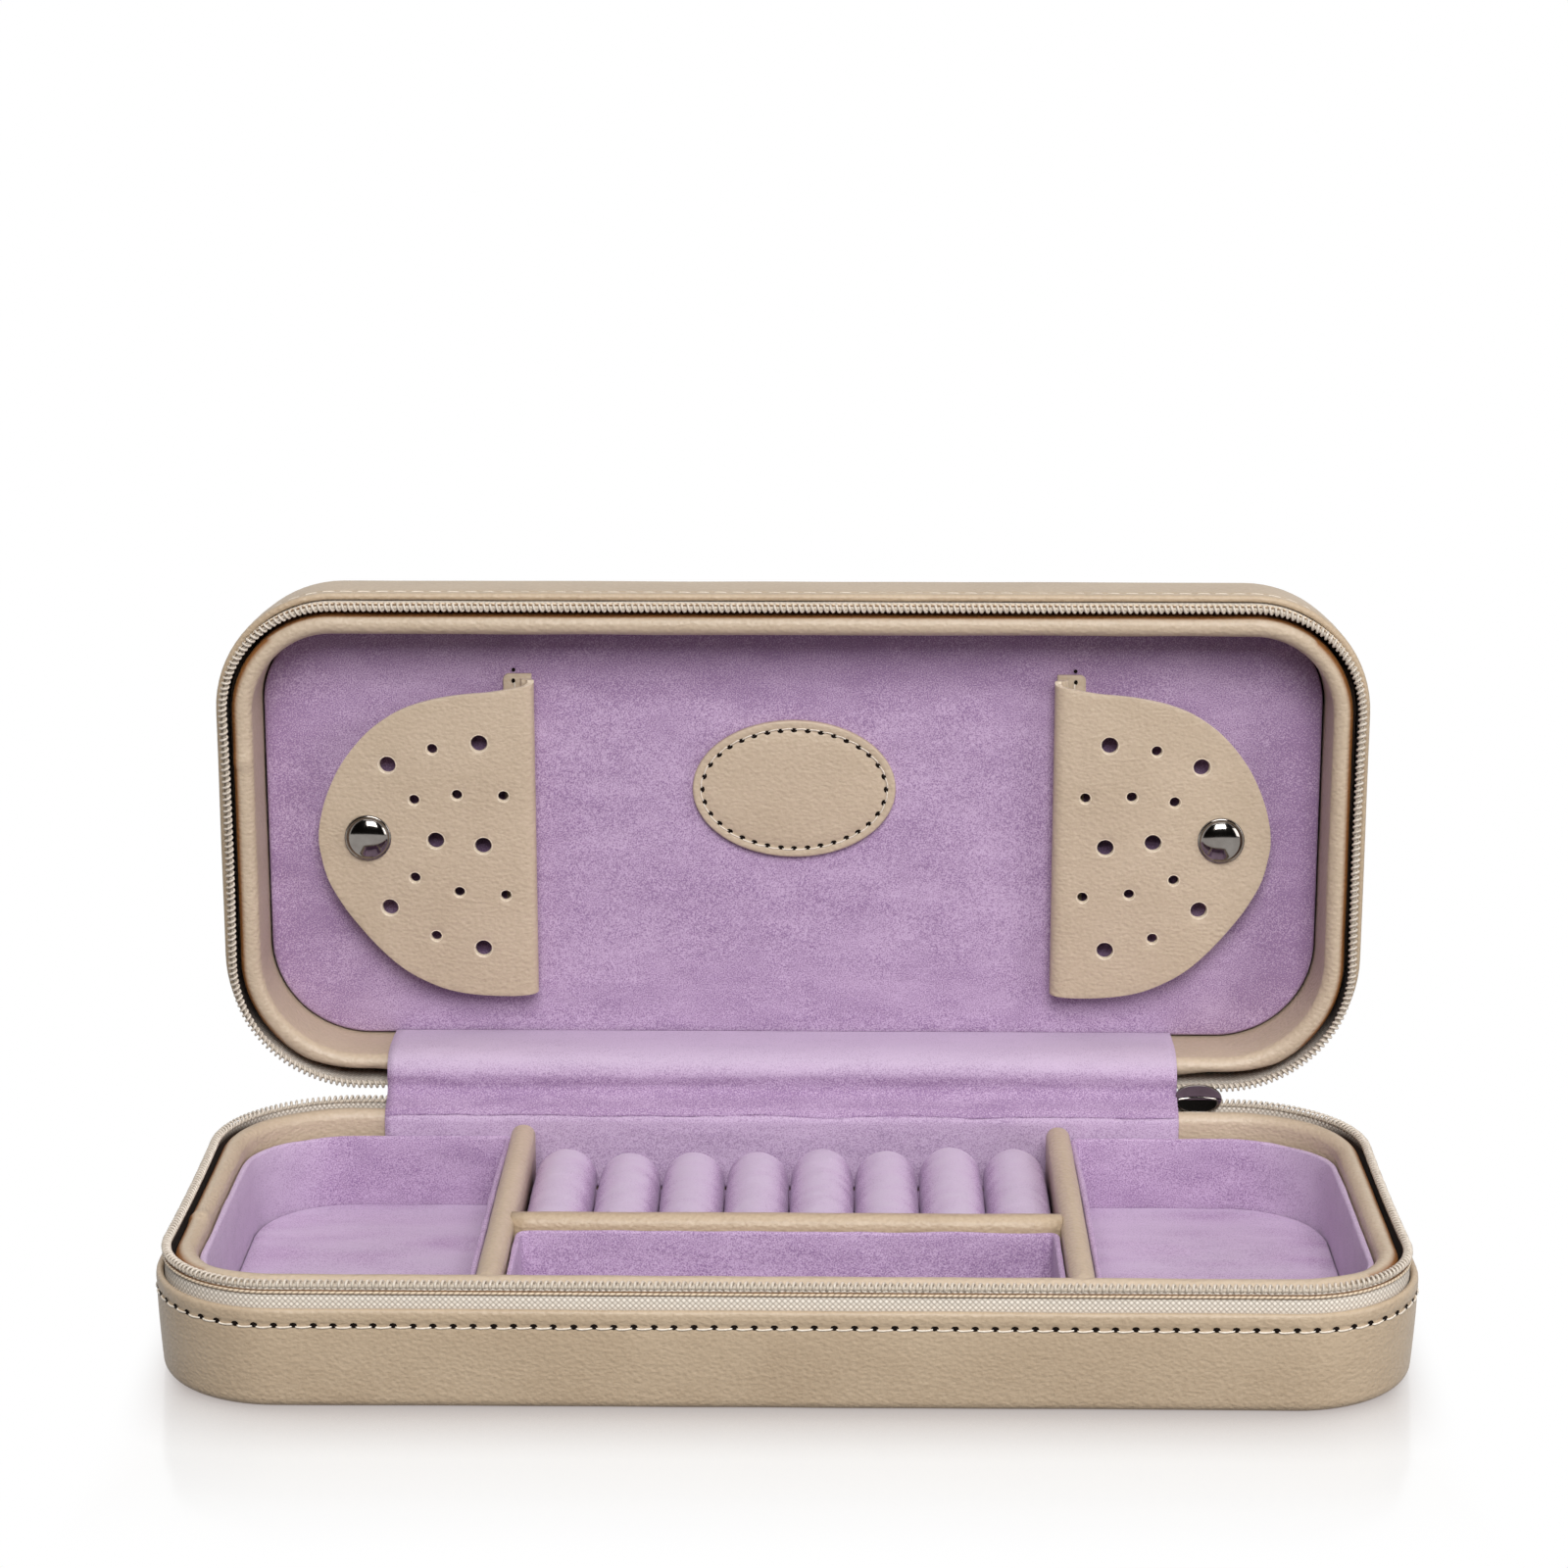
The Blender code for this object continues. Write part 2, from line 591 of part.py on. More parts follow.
for side, word in ((-1, "left"), (1, "right")):
    pivot_place = (LAYOUT_X + side * (FLAP_FOLD_X + fold_outer), HINGE_Y, fold_height - TEETH_PLANE)
    pivot = add_empty("flap_pivot_" + word, pivot_place, parent=lid_pivot)
    # side view of the leather: round the fold, then flat out to the tip
    bend = []
    for step in range(FOLD_STEPS + 1):
        angle = math.radians(90.0 - FOLD_TURN_DEG + FOLD_TURN_DEG * step / FOLD_STEPS)
        bend.append((-side * fold_middle * math.cos(angle), fold_middle * math.sin(angle)))
    bend.append((side * (FLAP_REACH - fold_outer), fold_middle))
    curve = poly_curve("bend", [bend], cyclic=False)
    curve.extrude = FLAP_HALF_HEIGHT
    leather = add_mesh("flap_" + word, curve_to_bmesh(curve), "leather", parent=pivot,
                       rotation=(math.radians(90.0), 0.0, 0.0))
    shell = leather.modifiers.new("thickness", "SOLIDIFY")
    shell.thickness = FLAP
    shell.offset = 0.0
    shell.use_even_offset = True
    # half ellipse that trims the bent sheet
    rounded = [(-side * (fold_outer + OVERRUN), -FLAP_HALF_HEIGHT), (-side * fold_outer, -FLAP_HALF_HEIGHT)]
    for step in range(1, FLAP_CURVE_STEPS):
        angle = math.radians(180.0 * step / FLAP_CURVE_STEPS - 90.0)
        rounded.append((side * (FLAP_REACH * math.cos(angle) - fold_outer),
                        FLAP_HALF_HEIGHT * math.sin(angle)))
    rounded.append((-side * fold_outer, FLAP_HALF_HEIGHT))
    rounded.append((-side * (fold_outer + OVERRUN), FLAP_HALF_HEIGHT))
    outline = flat_bmesh([rounded], 2 * (fold_outer + OVERRUN))
    trim = add_mesh("flap_trim_" + word, outline, None, parent=pivot)
    cut(leather, trim, "INTERSECT")
    places = [(side * snap_reach, 0.0, RIVET_HOLE)]
    for shares, diameter in ((LARGE_HOLE_SHARES, LARGE_HOLE), (SMALL_HOLE_SHARES, SMALL_HOLE)):
        for across, up in shares:
            places.append((side * (FLAP_REACH * across - fold_outer), FLAP_HALF_HEIGHT * up, diameter))
    cut(leather, add_hole_cutter("flap_holes_" + word, places, pivot))

    # cap and socket ride on the flap
    place = (side * snap_reach, 0.0, 0.0)
    cap_low = flap_top + FIT
    cap = dome(CAP_DIAMETER / 2, CAP_HEIGHT - CAP_LIP, cap_low + CAP_HEIGHT, ROUND_STEPS)
    cap += [(CAP_DIAMETER / 2, cap_low), (RIVET_DIAMETER / 2, cap_low), (RIVET_DIAMETER / 2, flap_under),
            (0.0, flap_under)]
    add_turned("snap_cap_" + word, "chrome", cap, SNAP_SIDES, place, parent=pivot)
    stud_low = PANEL_FRONT + FIT - fold_height
    socket_top = flap_under - FIT
    socket_low = stud_low + STUD_BASE + FIT
    socket_bore = STUD_HEAD_DIAMETER / 2 + SNAP_PLAY
    bore_roof = socket_top - SOCKET_ROOF
    socket = [(0.0, socket_top), (SOCKET_DIAMETER / 2, socket_top), (SOCKET_DIAMETER / 2, socket_low),
              (socket_bore, socket_low), (socket_bore, bore_roof), (0.0, bore_roof)]
    add_turned("snap_socket_" + word, "chrome", socket, SNAP_SIDES, place, parent=pivot)

    # stud on the panel
    head_top = bore_roof - SNAP_PLAY
    head_low = head_top - STUD_HEAD
    base_top = stud_low + STUD_BASE
    stud = [(0.0, head_top), (STUD_HEAD_DIAMETER / 2, head_top), (STUD_HEAD_DIAMETER / 2, head_low),
            (STUD_NECK_DIAMETER / 2, head_low), (STUD_NECK_DIAMETER / 2, base_top),
            (STUD_DIAMETER / 2, base_top), (STUD_DIAMETER / 2, stud_low), (0.0, stud_low)]
    stud_place = (pivot_place[0] + side * snap_reach, pivot_place[1], pivot_place[2])
    add_turned("snap_stud_" + word, "chrome", stud, SNAP_SIDES, stud_place, parent=lid_pivot)

    # strip that is stitched to the panel behind the fold
    near = LAYOUT_X + side * (FLAP_FOLD_X + SEAM_OVERHANG)
    far = near + side * SEAM_WIDTH
    seam = [(near, -FLAP_HALF_HEIGHT), (far, -FLAP_HALF_HEIGHT), (far, FLAP_HALF_HEIGHT),
            (near, FLAP_HALF_HEIGHT)]
    add_plate("flap_seam_" + word, "leather", [seam], PANEL_FRONT + FIT, PANEL_FRONT + FIT + SEAM)

# Zip slider: outer plate, thin web between the tips of the teeth, inner plate, and the bail for the tab
coil_outer = CASE_DEPTH / 2 - COIL_INSET
coil_inner = coil_outer - COIL_WIDTH
outer_y = coil_outer + FIT
inner_y = coil_inner - SLIDER_INNER_PLAY - SLIDER_INNER_PLATE
web_low = COIL_TOP + SLIDER_WEB_PLAY
web_high = web_low + SLIDER_WEB
plate_low = SHELL_HEIGHT + SLIDER_ABOVE_LIP
slider_x = STRIP_RIGHT + SLIDER_FROM_STRIP + SLIDER_LENGTH / 2
slider_place = add_empty("slider_path", (slider_x, HINGE_Y, TEETH_PLANE))


def oval_plate(low, high, near, far, nose):
    """An upright plate along X with round ends, between two distances from the front."""
    half = SLIDER_LENGTH / 2
    bm = flat_bmesh([corner_rect(-half, half, low, high, (nose,) * 4, ROUND_STEPS)], far - near)
    bmesh.ops.rotate(bm, verts=bm.verts, matrix=Matrix.Rotation(math.radians(90.0), 3, "X"))
    bmesh.ops.translate(bm, vec=(0.0, (near + far) / 2, 0.0), verts=bm.verts)
    return bm


inner_plate = oval_plate(RIM_TOP + SLIDER_ABOVE_RIM - TEETH_PLANE, SLIDER_ABOVE_TEETH,
                         inner_y - HINGE_Y, inner_y + SLIDER_INNER_PLATE - HINGE_Y, SLIDER_INNER_NOSE)
slider = add_mesh("zip_slider", inner_plate, "chrome", parent=slider_place)
outer_plate = oval_plate(plate_low - TEETH_PLANE, web_high - TEETH_PLANE,
                         outer_y - HINGE_Y, outer_y + SLIDER_OUTER_PLATE - HINGE_Y, SLIDER_OUTER_NOSE)
joined = [add_mesh("slider_outer", outer_plate, None, parent=slider_place)]
web_half = SLIDER_LENGTH / 2 - SLIDER_OUTER_NOSE
web = box_bmesh(-web_half, web_half, inner_y + SLIDER_INNER_PLATE / 2 - HINGE_Y,
                outer_y + SLIDER_OUTER_PLATE / 2 - HINGE_Y, web_low - TEETH_PLANE, web_high - TEETH_PLANE)
joined.append(add_mesh("slider_web", web, None, parent=slider_place))
bail_top = -BAIL_BELOW_TEETH
bail_bottom = bail_top - 2 * BAIL - BAIL_OPENING
bail_near = outer_y + SLIDER_OUTER_PLATE - HINGE_Y
bail_far = bail_near + BAIL_OPENING + BAIL
bail_root = bail_near - SLIDER_OUTER_PLATE / 2
bail = [(bail_root, bail_bottom), (bail_far, bail_bottom), (bail_far, bail_top), (bail_root, bail_top),
        (bail_root, bail_top - BAIL), (bail_far - BAIL, bail_top - BAIL),
        (bail_far - BAIL, bail_bottom + BAIL), (bail_root, bail_bottom + BAIL)]
joined.append(add_mesh("slider_bail", flat_bmesh([bail], BAIL_WIDTH), None, parent=slider_place,
                       rotation=(math.radians(90.0), 0.0, math.radians(90.0))))
for piece in joined:
    cut(slider, piece, "UNION")

# Pull tab, hanging from the bail by the top bar of its window
puller_y = bail_near + BAIL_OPENING / 2
puller_z = (bail_top + bail_bottom) / 2
puller_pivot = add_empty("puller_pivot", (0.0, puller_y, puller_z), parent=slider_place)
half = PULLER_WIDTH / 2
top = PULLER_RAIL / 2
tab = corner_rect(-half, half, top - PULLER_LENGTH, top,
                  (PULLER_RAIL / 2, PULLER_RAIL / 2, PULLER_ROUND, PULLER_ROUND), 4)
window = [(-half + PULLER_RAIL, -top - PULLER_WINDOW), (half - PULLER_RAIL, -top - PULLER_WINDOW),
          (half - PULLER_RAIL, -top), (-half + PULLER_RAIL, -top)]
add_mesh("zip_puller", flat_bmesh([tab, window], PULLER), "chrome", parent=puller_pivot,
         rotation=(math.radians(90.0), 0.0, 0.0))
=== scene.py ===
import math
import random

import bmesh
import bpy
from mathutils import Matrix, Vector, noise
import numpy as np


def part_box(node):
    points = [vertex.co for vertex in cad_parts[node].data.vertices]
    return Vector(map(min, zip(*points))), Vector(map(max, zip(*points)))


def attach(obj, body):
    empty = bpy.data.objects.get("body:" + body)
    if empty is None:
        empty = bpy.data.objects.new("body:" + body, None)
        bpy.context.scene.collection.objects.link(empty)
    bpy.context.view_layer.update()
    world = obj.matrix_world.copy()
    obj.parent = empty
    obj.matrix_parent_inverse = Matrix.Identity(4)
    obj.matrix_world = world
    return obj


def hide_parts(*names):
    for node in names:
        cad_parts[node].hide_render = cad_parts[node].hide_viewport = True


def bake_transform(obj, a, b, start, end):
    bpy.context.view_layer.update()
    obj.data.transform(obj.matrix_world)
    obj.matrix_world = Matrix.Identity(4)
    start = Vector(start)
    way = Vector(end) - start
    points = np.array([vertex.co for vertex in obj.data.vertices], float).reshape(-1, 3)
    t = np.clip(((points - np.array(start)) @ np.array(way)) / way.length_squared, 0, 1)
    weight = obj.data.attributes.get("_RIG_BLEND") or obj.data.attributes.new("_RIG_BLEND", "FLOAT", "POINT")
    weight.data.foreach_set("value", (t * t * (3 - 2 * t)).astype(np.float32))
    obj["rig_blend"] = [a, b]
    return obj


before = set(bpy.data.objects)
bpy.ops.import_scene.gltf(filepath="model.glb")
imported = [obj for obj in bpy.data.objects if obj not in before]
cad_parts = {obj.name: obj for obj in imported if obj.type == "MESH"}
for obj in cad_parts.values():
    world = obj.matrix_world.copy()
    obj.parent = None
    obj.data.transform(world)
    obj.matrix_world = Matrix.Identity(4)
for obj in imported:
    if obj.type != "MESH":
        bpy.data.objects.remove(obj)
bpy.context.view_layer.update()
random.seed(11)  # stitches differ a little, and in the same way each run
mm = 0.001  # pieces are drawn in millimetres and scaled when they are finished

# The case's outline and heights in mm, as in the solids. The zip stops short of the hinge by zipEnd
case = {"width": 240.0, "depth": 107.0, "hingeRadius": 29.0, "farRadius": 25.0, "shell": 20.0,
        "zipEnd": 80.0}
flatFrame = Matrix.Identity(4)
lidFrame = Matrix.Translation((0.0, 0.0785, 0.0785)) @ Matrix.Rotation(math.radians(90.0), 4, "X")
print("frame loaded,", len(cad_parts), "nodes")


# materials

def linear(code):
    shares = [int(code[i:i + 2], 16) / 255 for i in (1, 3, 5)]
    return tuple(s / 12.92 if s <= 0.04045 else ((s + 0.055) / 1.055) ** 2.4 for s in shares) + (1.0,)


def addNode(tree, kind, inputs=None, **settings):
    # each input is a value, a socket, or a node, which stands for its first output
    node = tree.nodes.new("ShaderNode" + kind)
    for name, value in settings.items():
        setattr(node, name, value)
    for name, value in (inputs or {}).items():
        if isinstance(value, bpy.types.Node):
            value = value.outputs[0]
        if isinstance(value, bpy.types.NodeSocket):
            tree.links.new(value, node.inputs[name])
        else:
            node.inputs[name].default_value = value
    return node


def startMaterial(name, values):
    material = bpy.data.materials.new(name)
    material.use_nodes = True
    tree = material.node_tree
    shader = tree.nodes["Principled BSDF"]
    for socket, value in values.items():
        shader.inputs[socket].default_value = value
    return material, tree, shader


leather = {"lining": ("#c0ad97", "#b29f88"), "cover": ("#b9a58c", "#a8937a"), "brownTint": "#86521f",
           "grain": 0.8, "fineGrain": 0.55, "cloud": 16.0, "grainHeight": 0.22, "roughness": 0.46}


def makeLeather(name, light, dark):
    # Polyurethane-coated leatherette, embossed: a fine pebble grain under a satin skin. The pebbles are
    # 0.8 mm apart, coarser than real, so that they show
    material, tree, shader = startMaterial(name, {
        "Roughness": leather["roughness"], "IOR": 1.48, "Coat Weight": 0.06, "Coat Roughness": 0.25})
    place = addNode(tree, "TexCoord").outputs["Object"]
    # the grain's cells are a little wider than high
    wide = addNode(tree, "Mapping", {"Vector": place, "Scale": (0.7, 0.7, 1.0)})
    cells = addNode(tree, "TexVoronoi", {"Vector": wide, "Scale": 1 / (leather["grain"] * mm),
                                         "Smoothness": 0.6}, feature="SMOOTH_F1")
    fine = addNode(tree, "TexNoise", {"Vector": wide, "Scale": 1 / (leather["fineGrain"] * mm),
                                      "Detail": 2.0})
    cloud = addNode(tree, "TexNoise", {"Vector": place, "Scale": 1 / (leather["cloud"] * mm), "Detail": 2.0})
    grain = addNode(tree, "Math", {0: cells.outputs["Distance"], 1: fine}, operation="ADD")
    waves = addNode(tree, "Bump", {"Strength": 0.25, "Distance": 0.4 * mm, "Height": cloud})
    bump = addNode(tree, "Bump", {"Strength": 0.55, "Distance": leather["grainHeight"] * mm, "Height": grain,
                                  "Normal": waves})
    tone = addNode(tree, "MapRange", {"Value": fine, "From Min": 0.3, "From Max": 0.7, "To Max": 0.55})
    blotch = addNode(tree, "MapRange", {"Value": cloud, "From Min": 0.3, "From Max": 0.7, "To Max": 0.45})
    share = addNode(tree, "Math", {0: tone, 1: blotch}, operation="ADD")
    skin = addNode(tree, "Mix", {0: share, 6: linear(light), 7: linear(dark)}, data_type="RGBA")
    brownShare = addNode(tree, "Attribute", attribute_name="brownTint")
    colour = addNode(tree, "Mix", {0: brownShare.outputs["Fac"], 6: skin.outputs[2], 7: linear(leather["brownTint"])},
                     data_type="RGBA")
    tree.links.new(colour.outputs[2], shader.inputs["Base Color"])
    tree.links.new(bump.outputs["Normal"], shader.inputs["Normal"])
    return material


# brushed is the pale colour that the painted light mixes in: a painted sheen
velvet = {"light": "#bfa6c3", "dark": "#8f7296", "brushed": "#c0b3c4", "sheen": "#dcc6e2", "nap": 0.27,
          "clump": 1.0, "mottle": 6.0, "roughness": 0.85}


def makeVelvet():
    # Brushed microfibre velvet: a short nap that scatters light, paler where it is seen edge on. Its flecks
    # are 0.27 mm across, coarser than real, so that they show
    material, tree, shader = startMaterial("velvetBrushedMicrofibre", {
        "Roughness": velvet["roughness"], "Specular IOR Level": 0.25, "Sheen Weight": 0.26,
        "Sheen Roughness": 0.45, "Sheen Tint": linear(velvet["sheen"])})
    place = addNode(tree, "TexCoord").outputs["Object"]
    nap = addNode(tree, "TexNoise", {"Vector": place, "Scale": 1 / (velvet["nap"] * mm), "Detail": 3.0,
                                     "Roughness": 0.65})
    clump = addNode(tree, "TexNoise", {"Vector": place, "Scale": 1 / (velvet["clump"] * mm), "Detail": 2.0})
    stroke = addNode(tree, "Mapping", {"Vector": place, "Scale": (0.45, 1.0, 1.0)})
    mottle = addNode(tree, "TexNoise", {"Vector": stroke, "Scale": 1 / (velvet["mottle"] * mm), "Detail": 4.0,
                                        "Roughness": 0.6})
    grains = addNode(tree, "MapRange", {"Value": nap, "From Min": 0.28, "From Max": 0.72, "To Min": -1.15,
                                        "To Max": 1.15}, clamp=False)
    clumps = addNode(tree, "MapRange", {"Value": clump, "From Min": 0.3, "From Max": 0.7, "To Min": -0.08,
                                        "To Max": 0.08}, clamp=False)
    clouds = addNode(tree, "MapRange", {"Value": mottle, "From Min": 0.3, "From Max": 0.7, "To Min": 0.20,
                                        "To Max": 0.66}, clamp=False)
    first = addNode(tree, "Math", {0: grains, 1: clumps}, operation="ADD")
    second = addNode(tree, "Math", {0: first, 1: clouds}, operation="ADD")
    # painted light and shade: where the attribute is positive the nap is paler and mixes towards the brushed
    # colour, a painted sheen, and where it is negative the nap is darker; the attribute also carries some
    # random tone
    paintedLightAndTone = addNode(tree, "Attribute", attribute_name="napToneAndPaintedLight").outputs["Fac"]
    share = addNode(tree, "Math", {0: second, 1: paintedLightAndTone}, operation="SUBTRACT", use_clamp=True)
    napped = addNode(tree, "Mix", {0: share, 6: linear(velvet["light"]), 7: linear(velvet["dark"])},
                     data_type="RGBA")
    pale = addNode(tree, "Math", {0: paintedLightAndTone, 1: 1.0}, operation="MULTIPLY", use_clamp=True)
    colour = addNode(tree, "Mix", {0: pale, 6: napped.outputs[2], 7: linear(velvet["brushed"])},
                     data_type="RGBA")
    brushed = addNode(tree, "Bump", {"Strength": 0.5, "Distance": 0.9 * mm, "Height": mottle})
    pile = addNode(tree, "Bump", {"Strength": 0.7, "Distance": 0.12 * mm, "Height": nap, "Normal": brushed})
    tree.links.new(colour.outputs[2], shader.inputs["Base Color"])
    tree.links.new(pile.outputs["Normal"], shader.inputs["Normal"])
    return material


tapeLook = {"light": "#efe7dc", "dark": "#998c7e", "paintedGapShadow": "#341e10", "knuckle": 1.1}


def makeTape():
    # Woven polyester zip tape: matt, with the threads' knuckles in staggered rows, one every 1.1 mm. That is
    # about twice as coarse as real, so that it shows
    material, tree, shader = startMaterial("zipTapeWovenPolyester", {
        "Roughness": 0.85, "Specular IOR Level": 0.2, "Sheen Weight": 0.04, "Sheen Roughness": 0.5})
    flat = addNode(tree, "UVMap", uv_map="UVMap")
    cut = addNode(tree, "SeparateXYZ", {0: flat})
    turns = math.pi / tapeLook["knuckle"]
    waves = []
    for slope in ("ADD", "SUBTRACT"):
        slanted = addNode(tree, "Math", {0: cut.outputs["X"], 1: cut.outputs["Y"]}, operation=slope)
        angle = addNode(tree, "Math", {0: slanted, 1: turns}, operation="MULTIPLY")
        waves.append(addNode(tree, "Math", {0: angle}, operation="SINE"))
    weave = addNode(tree, "Math", {0: waves[0], 1: waves[1]}, operation="MULTIPLY")
    bulge = addNode(tree, "Math", {0: weave}, operation="ABSOLUTE")
    # warp and weft catch the light differently
    which = addNode(tree, "MapRange", {"Value": weave, "From Min": -0.6, "From Max": 0.6, "To Min": 0.55})
    lit = addNode(tree, "Math", {0: bulge, 1: which}, operation="MULTIPLY")
    knuckles = addNode(tree, "Math", {0: lit, 1: 0.45}, operation="POWER")
    woven = addNode(tree, "Mix", {0: knuckles, 6: linear(tapeLook["dark"]), 7: linear(tapeLook["light"])},
                    data_type="RGBA")
    bump = addNode(tree, "Bump", {"Strength": 0.8, "Distance": 0.12 * mm, "Height": knuckles})
    # painted shadow: dark brown where the tape's inner face lies in the gap's shade
    paintedGapShadow = addNode(tree, "Attribute", attribute_name="paintedGapShadow").outputs["Fac"]
    colour = addNode(tree, "Mix", {0: paintedGapShadow, 6: woven.outputs[2], 7: linear(tapeLook["paintedGapShadow"])},
                     data_type="RGBA")
    tree.links.new(colour.outputs[2], shader.inputs["Base Color"])
    tree.links.new(bump.outputs["Normal"], shader.inputs["Normal"])
    return material


cordLook = {"light": "#d9c6ac", "dark": "#6f4f33", "twist": 1.15}


def makeCord():
    # Twisted polyester sewing cord: smooth plies, one every 1.15 mm, with dark lines between them: painted
    # shade in the grooves
    material, tree, shader = startMaterial("sewingCordTwisted", {"Roughness": 0.55, "Sheen Weight": 0.15})
    flat = addNode(tree, "UVMap", uv_map="UVMap")
    cut = addNode(tree, "SeparateXYZ", {0: flat})
    around = addNode(tree, "Math", {0: cut.outputs["Y"], 1: 0.75}, operation="MULTIPLY")
    slant = addNode(tree, "Math", {0: cut.outputs["X"], 1: around}, operation="ADD")
    turned = addNode(tree, "Math", {0: slant, 1: math.pi / cordLook["twist"]}, operation="MULTIPLY")
    ply = addNode(tree, "Math", {0: turned}, operation="SINE")
    strand = addNode(tree, "Math", {0: ply}, operation="ABSOLUTE")
    crown = addNode(tree, "Math", {0: strand, 1: 0.5}, operation="POWER")
    colour = addNode(tree, "Mix", {0: crown, 6: linear(cordLook["dark"]), 7: linear(cordLook["light"])},
                     data_type="RGBA")
    bump = addNode(tree, "Bump", {"Strength": 0.9, "Distance": 0.15 * mm, "Height": crown})
    tree.links.new(colour.outputs[2], shader.inputs["Base Color"])
    tree.links.new(bump.outputs["Normal"], shader.inputs["Normal"])
    return material


def makeFleckedPlain(name, light, dark, size, values, bumpDepth=0.0):
    # a plain finish whose colour and surface vary a little at one size, in mm
    material, tree, shader = startMaterial(name, values)
    place = addNode(tree, "TexCoord").outputs["Object"]
    fleck = addNode(tree, "TexNoise", {"Vector": place, "Scale": 1 / (size * mm), "Detail": 3.0})
    share = addNode(tree, "MapRange", {"Value": fleck, "From Min": 0.32, "From Max": 0.68})
    colour = addNode(tree, "Mix", {0: share, 6: linear(light), 7: linear(dark)}, data_type="RGBA")
    tree.links.new(colour.outputs[2], shader.inputs["Base Color"])
    if bumpDepth:
        bump = addNode(tree, "Bump", {"Strength": 0.6, "Distance": bumpDepth * mm, "Height": fleck})
        tree.links.new(bump.outputs["Normal"], shader.inputs["Normal"])
    return material


look = {
    "leather": makeLeather("leatheretteEmbossedLining", *leather["lining"]),
    "coverLeather": makeLeather("leatheretteEmbossedCover", *leather["cover"]),
    "velvet": makeVelvet(),
    "tape": makeTape(),
    "cord": makeCord(),
    # Extruded nylon monofilament: smooth and slightly glossy, with faint random flecks
    "coil": makeFleckedPlain("zipCoilNylonMonofilament", "#d0c5b8", "#bcb0a1", 0.9,
                             {"Roughness": 0.38, "IOR": 1.53}),
    # Spun polyester filler cord: matt and a little darker than the coil round it
    "filler": makeFleckedPlain("zipFillerCordPolyester", "#cbc0b1", "#b5a999", 0.5, {"Roughness": 0.85}),
    # Painted shadow along the cord: a dark brown, matt band with fine plies
    "cordShadowBand": makeFleckedPlain("cordPaintedShadowBand", "#7a5a3c", "#5a4029", 0.5,
                                {"Roughness": 0.8}, 0.08),
    # Waxed polyester thread: cream, with a slight sheen
    "thread": makeFleckedPlain("sewingThreadWaxedPolyester", "#e6ddd0", "#d0c3b2", 0.5,
                               {"Roughness": 0.5, "Sheen Weight": 0.2}, 0.05),
    # Cut edge of leatherette: the pale foam and cloth core, matt
    "cutEdge": makeFleckedPlain("leatheretteCutEdge", "#e2d4c0", "#cdbba3", 0.5, {"Roughness": 0.75}, 0.05),
    # Painted shade of a needle hole: a flat dark disc stands for its shaded inside
    "hole": makeFleckedPlain("needleHolePaintedShade", "#1a110d", "#0e0907", 0.4,
                             {"Roughness": 0.95, "Specular IOR Level": 0.1}),
    # Nickel-plated zinc, polished: dark mirror with faint polishing marks
    "nickel": makeFleckedPlain("nickelPlatePolished", "#8d8883", "#7d7772", 3.0,
                               {"Metallic": 1.0, "Roughness": 0.10}),
    # Pressed brown card: matt and fibrous
    "card": makeFleckedPlain("stiffenerPressedCard", "#4a3c30", "#382c23", 1.2, {"Roughness": 0.95}, 0.05),
    # Polyester wadding: soft and matt
    "wadding": makeFleckedPlain("paddingPolyesterWadding", "#d8d3ca", "#c4beb4", 2.0,
                                {"Roughness": 1.0, "Sheen Weight": 0.3}, 0.3),
}
print("materials made:", len(look))


# drawing helpers

def clamp(value):
    return max(0.0, min(1.0, value))


def arc(x, y, radiusX, radiusY, start, end, steps):
    # the points of a round stretch of a profile, from one angle to the other
    angles = [math.radians(start + (end - start) * i / steps) for i in range(steps + 1)]
    return [(x + radiusX * math.cos(angle), y + radiusY * math.sin(angle)) for angle in angles]


def roundPath(x0, x1, y0, y1, radii, mirrored=False):
    # from the middle of the back side to the left and round. The radii are those of the corners at the back
    # left, front left, front right and back right
    middle = (x0 + x1) / 2
    backLeft, frontLeft, frontRight, backRight = radii
    parts = [
        ("line", middle, y1, -1, 0, middle - x0 - backLeft),
        ("arc", x0 + backLeft, y1 - backLeft, backLeft, 90.0, 0),
        ("line", x0, y1 - backLeft, 0, -1, y1 - y0 - backLeft - frontLeft),
        ("arc", x0 + frontLeft, y0 + frontLeft, frontLeft, 180.0, 0),
        ("line", x0 + frontLeft, y0, 1, 0, x1 - x0 - frontLeft - frontRight),
        ("arc", x1 - frontRight, y0 + frontRight, frontRight, 270.0, 0),
        ("line", x1, y0 + frontRight, 0, 1, y1 - y0 - frontRight - backRight),
        ("arc", x1 - backRight, y1 - backRight, backRight, 0.0, 0),
        ("line", x1 - backRight, y1, -1, 0, x1 - backRight - middle),
    ]
    path, start = [], 0.0
    for part in parts:
        length = part[5] if part[0] == "line" else part[3] * math.pi / 2
        path.append((start, length, part))
        start += length
    return {"parts": path, "length": start, "mirrored": mirrored}


def pathPoint(path, along, inset):
    for start, length, part in path["parts"]:
        if along <= start + length + 1e-6:
            break
    kind, x, y = part[:3]
    if kind == "line":
        dx, dy = part[3:5]
        x, y = x + dx * (along - start) - dy * inset, y + dy * (along - start) + dx * inset
    else:
        angle = math.radians(part[4]) + (along - start) / part[3]
        x, y = x + (part[3] - inset) * math.cos(angle), y + (part[3] - inset) * math.sin(angle)
    return x, -y if path["mirrored"] else y


def pathStops(path, straightStep, turnStep, first=0.0, last=None):
    last = path["length"] if last is None else last
    stops = [first]
    for start, length, part in path["parts"]:
        step = straightStep if part[0] == "line" else turnStep
        count = max(1, math.ceil(length / step))
        stops += [start + length * i / count for i in range(1, count + 1)]
    return [s for s in stops if first <= s < last - 0.05] + [last]


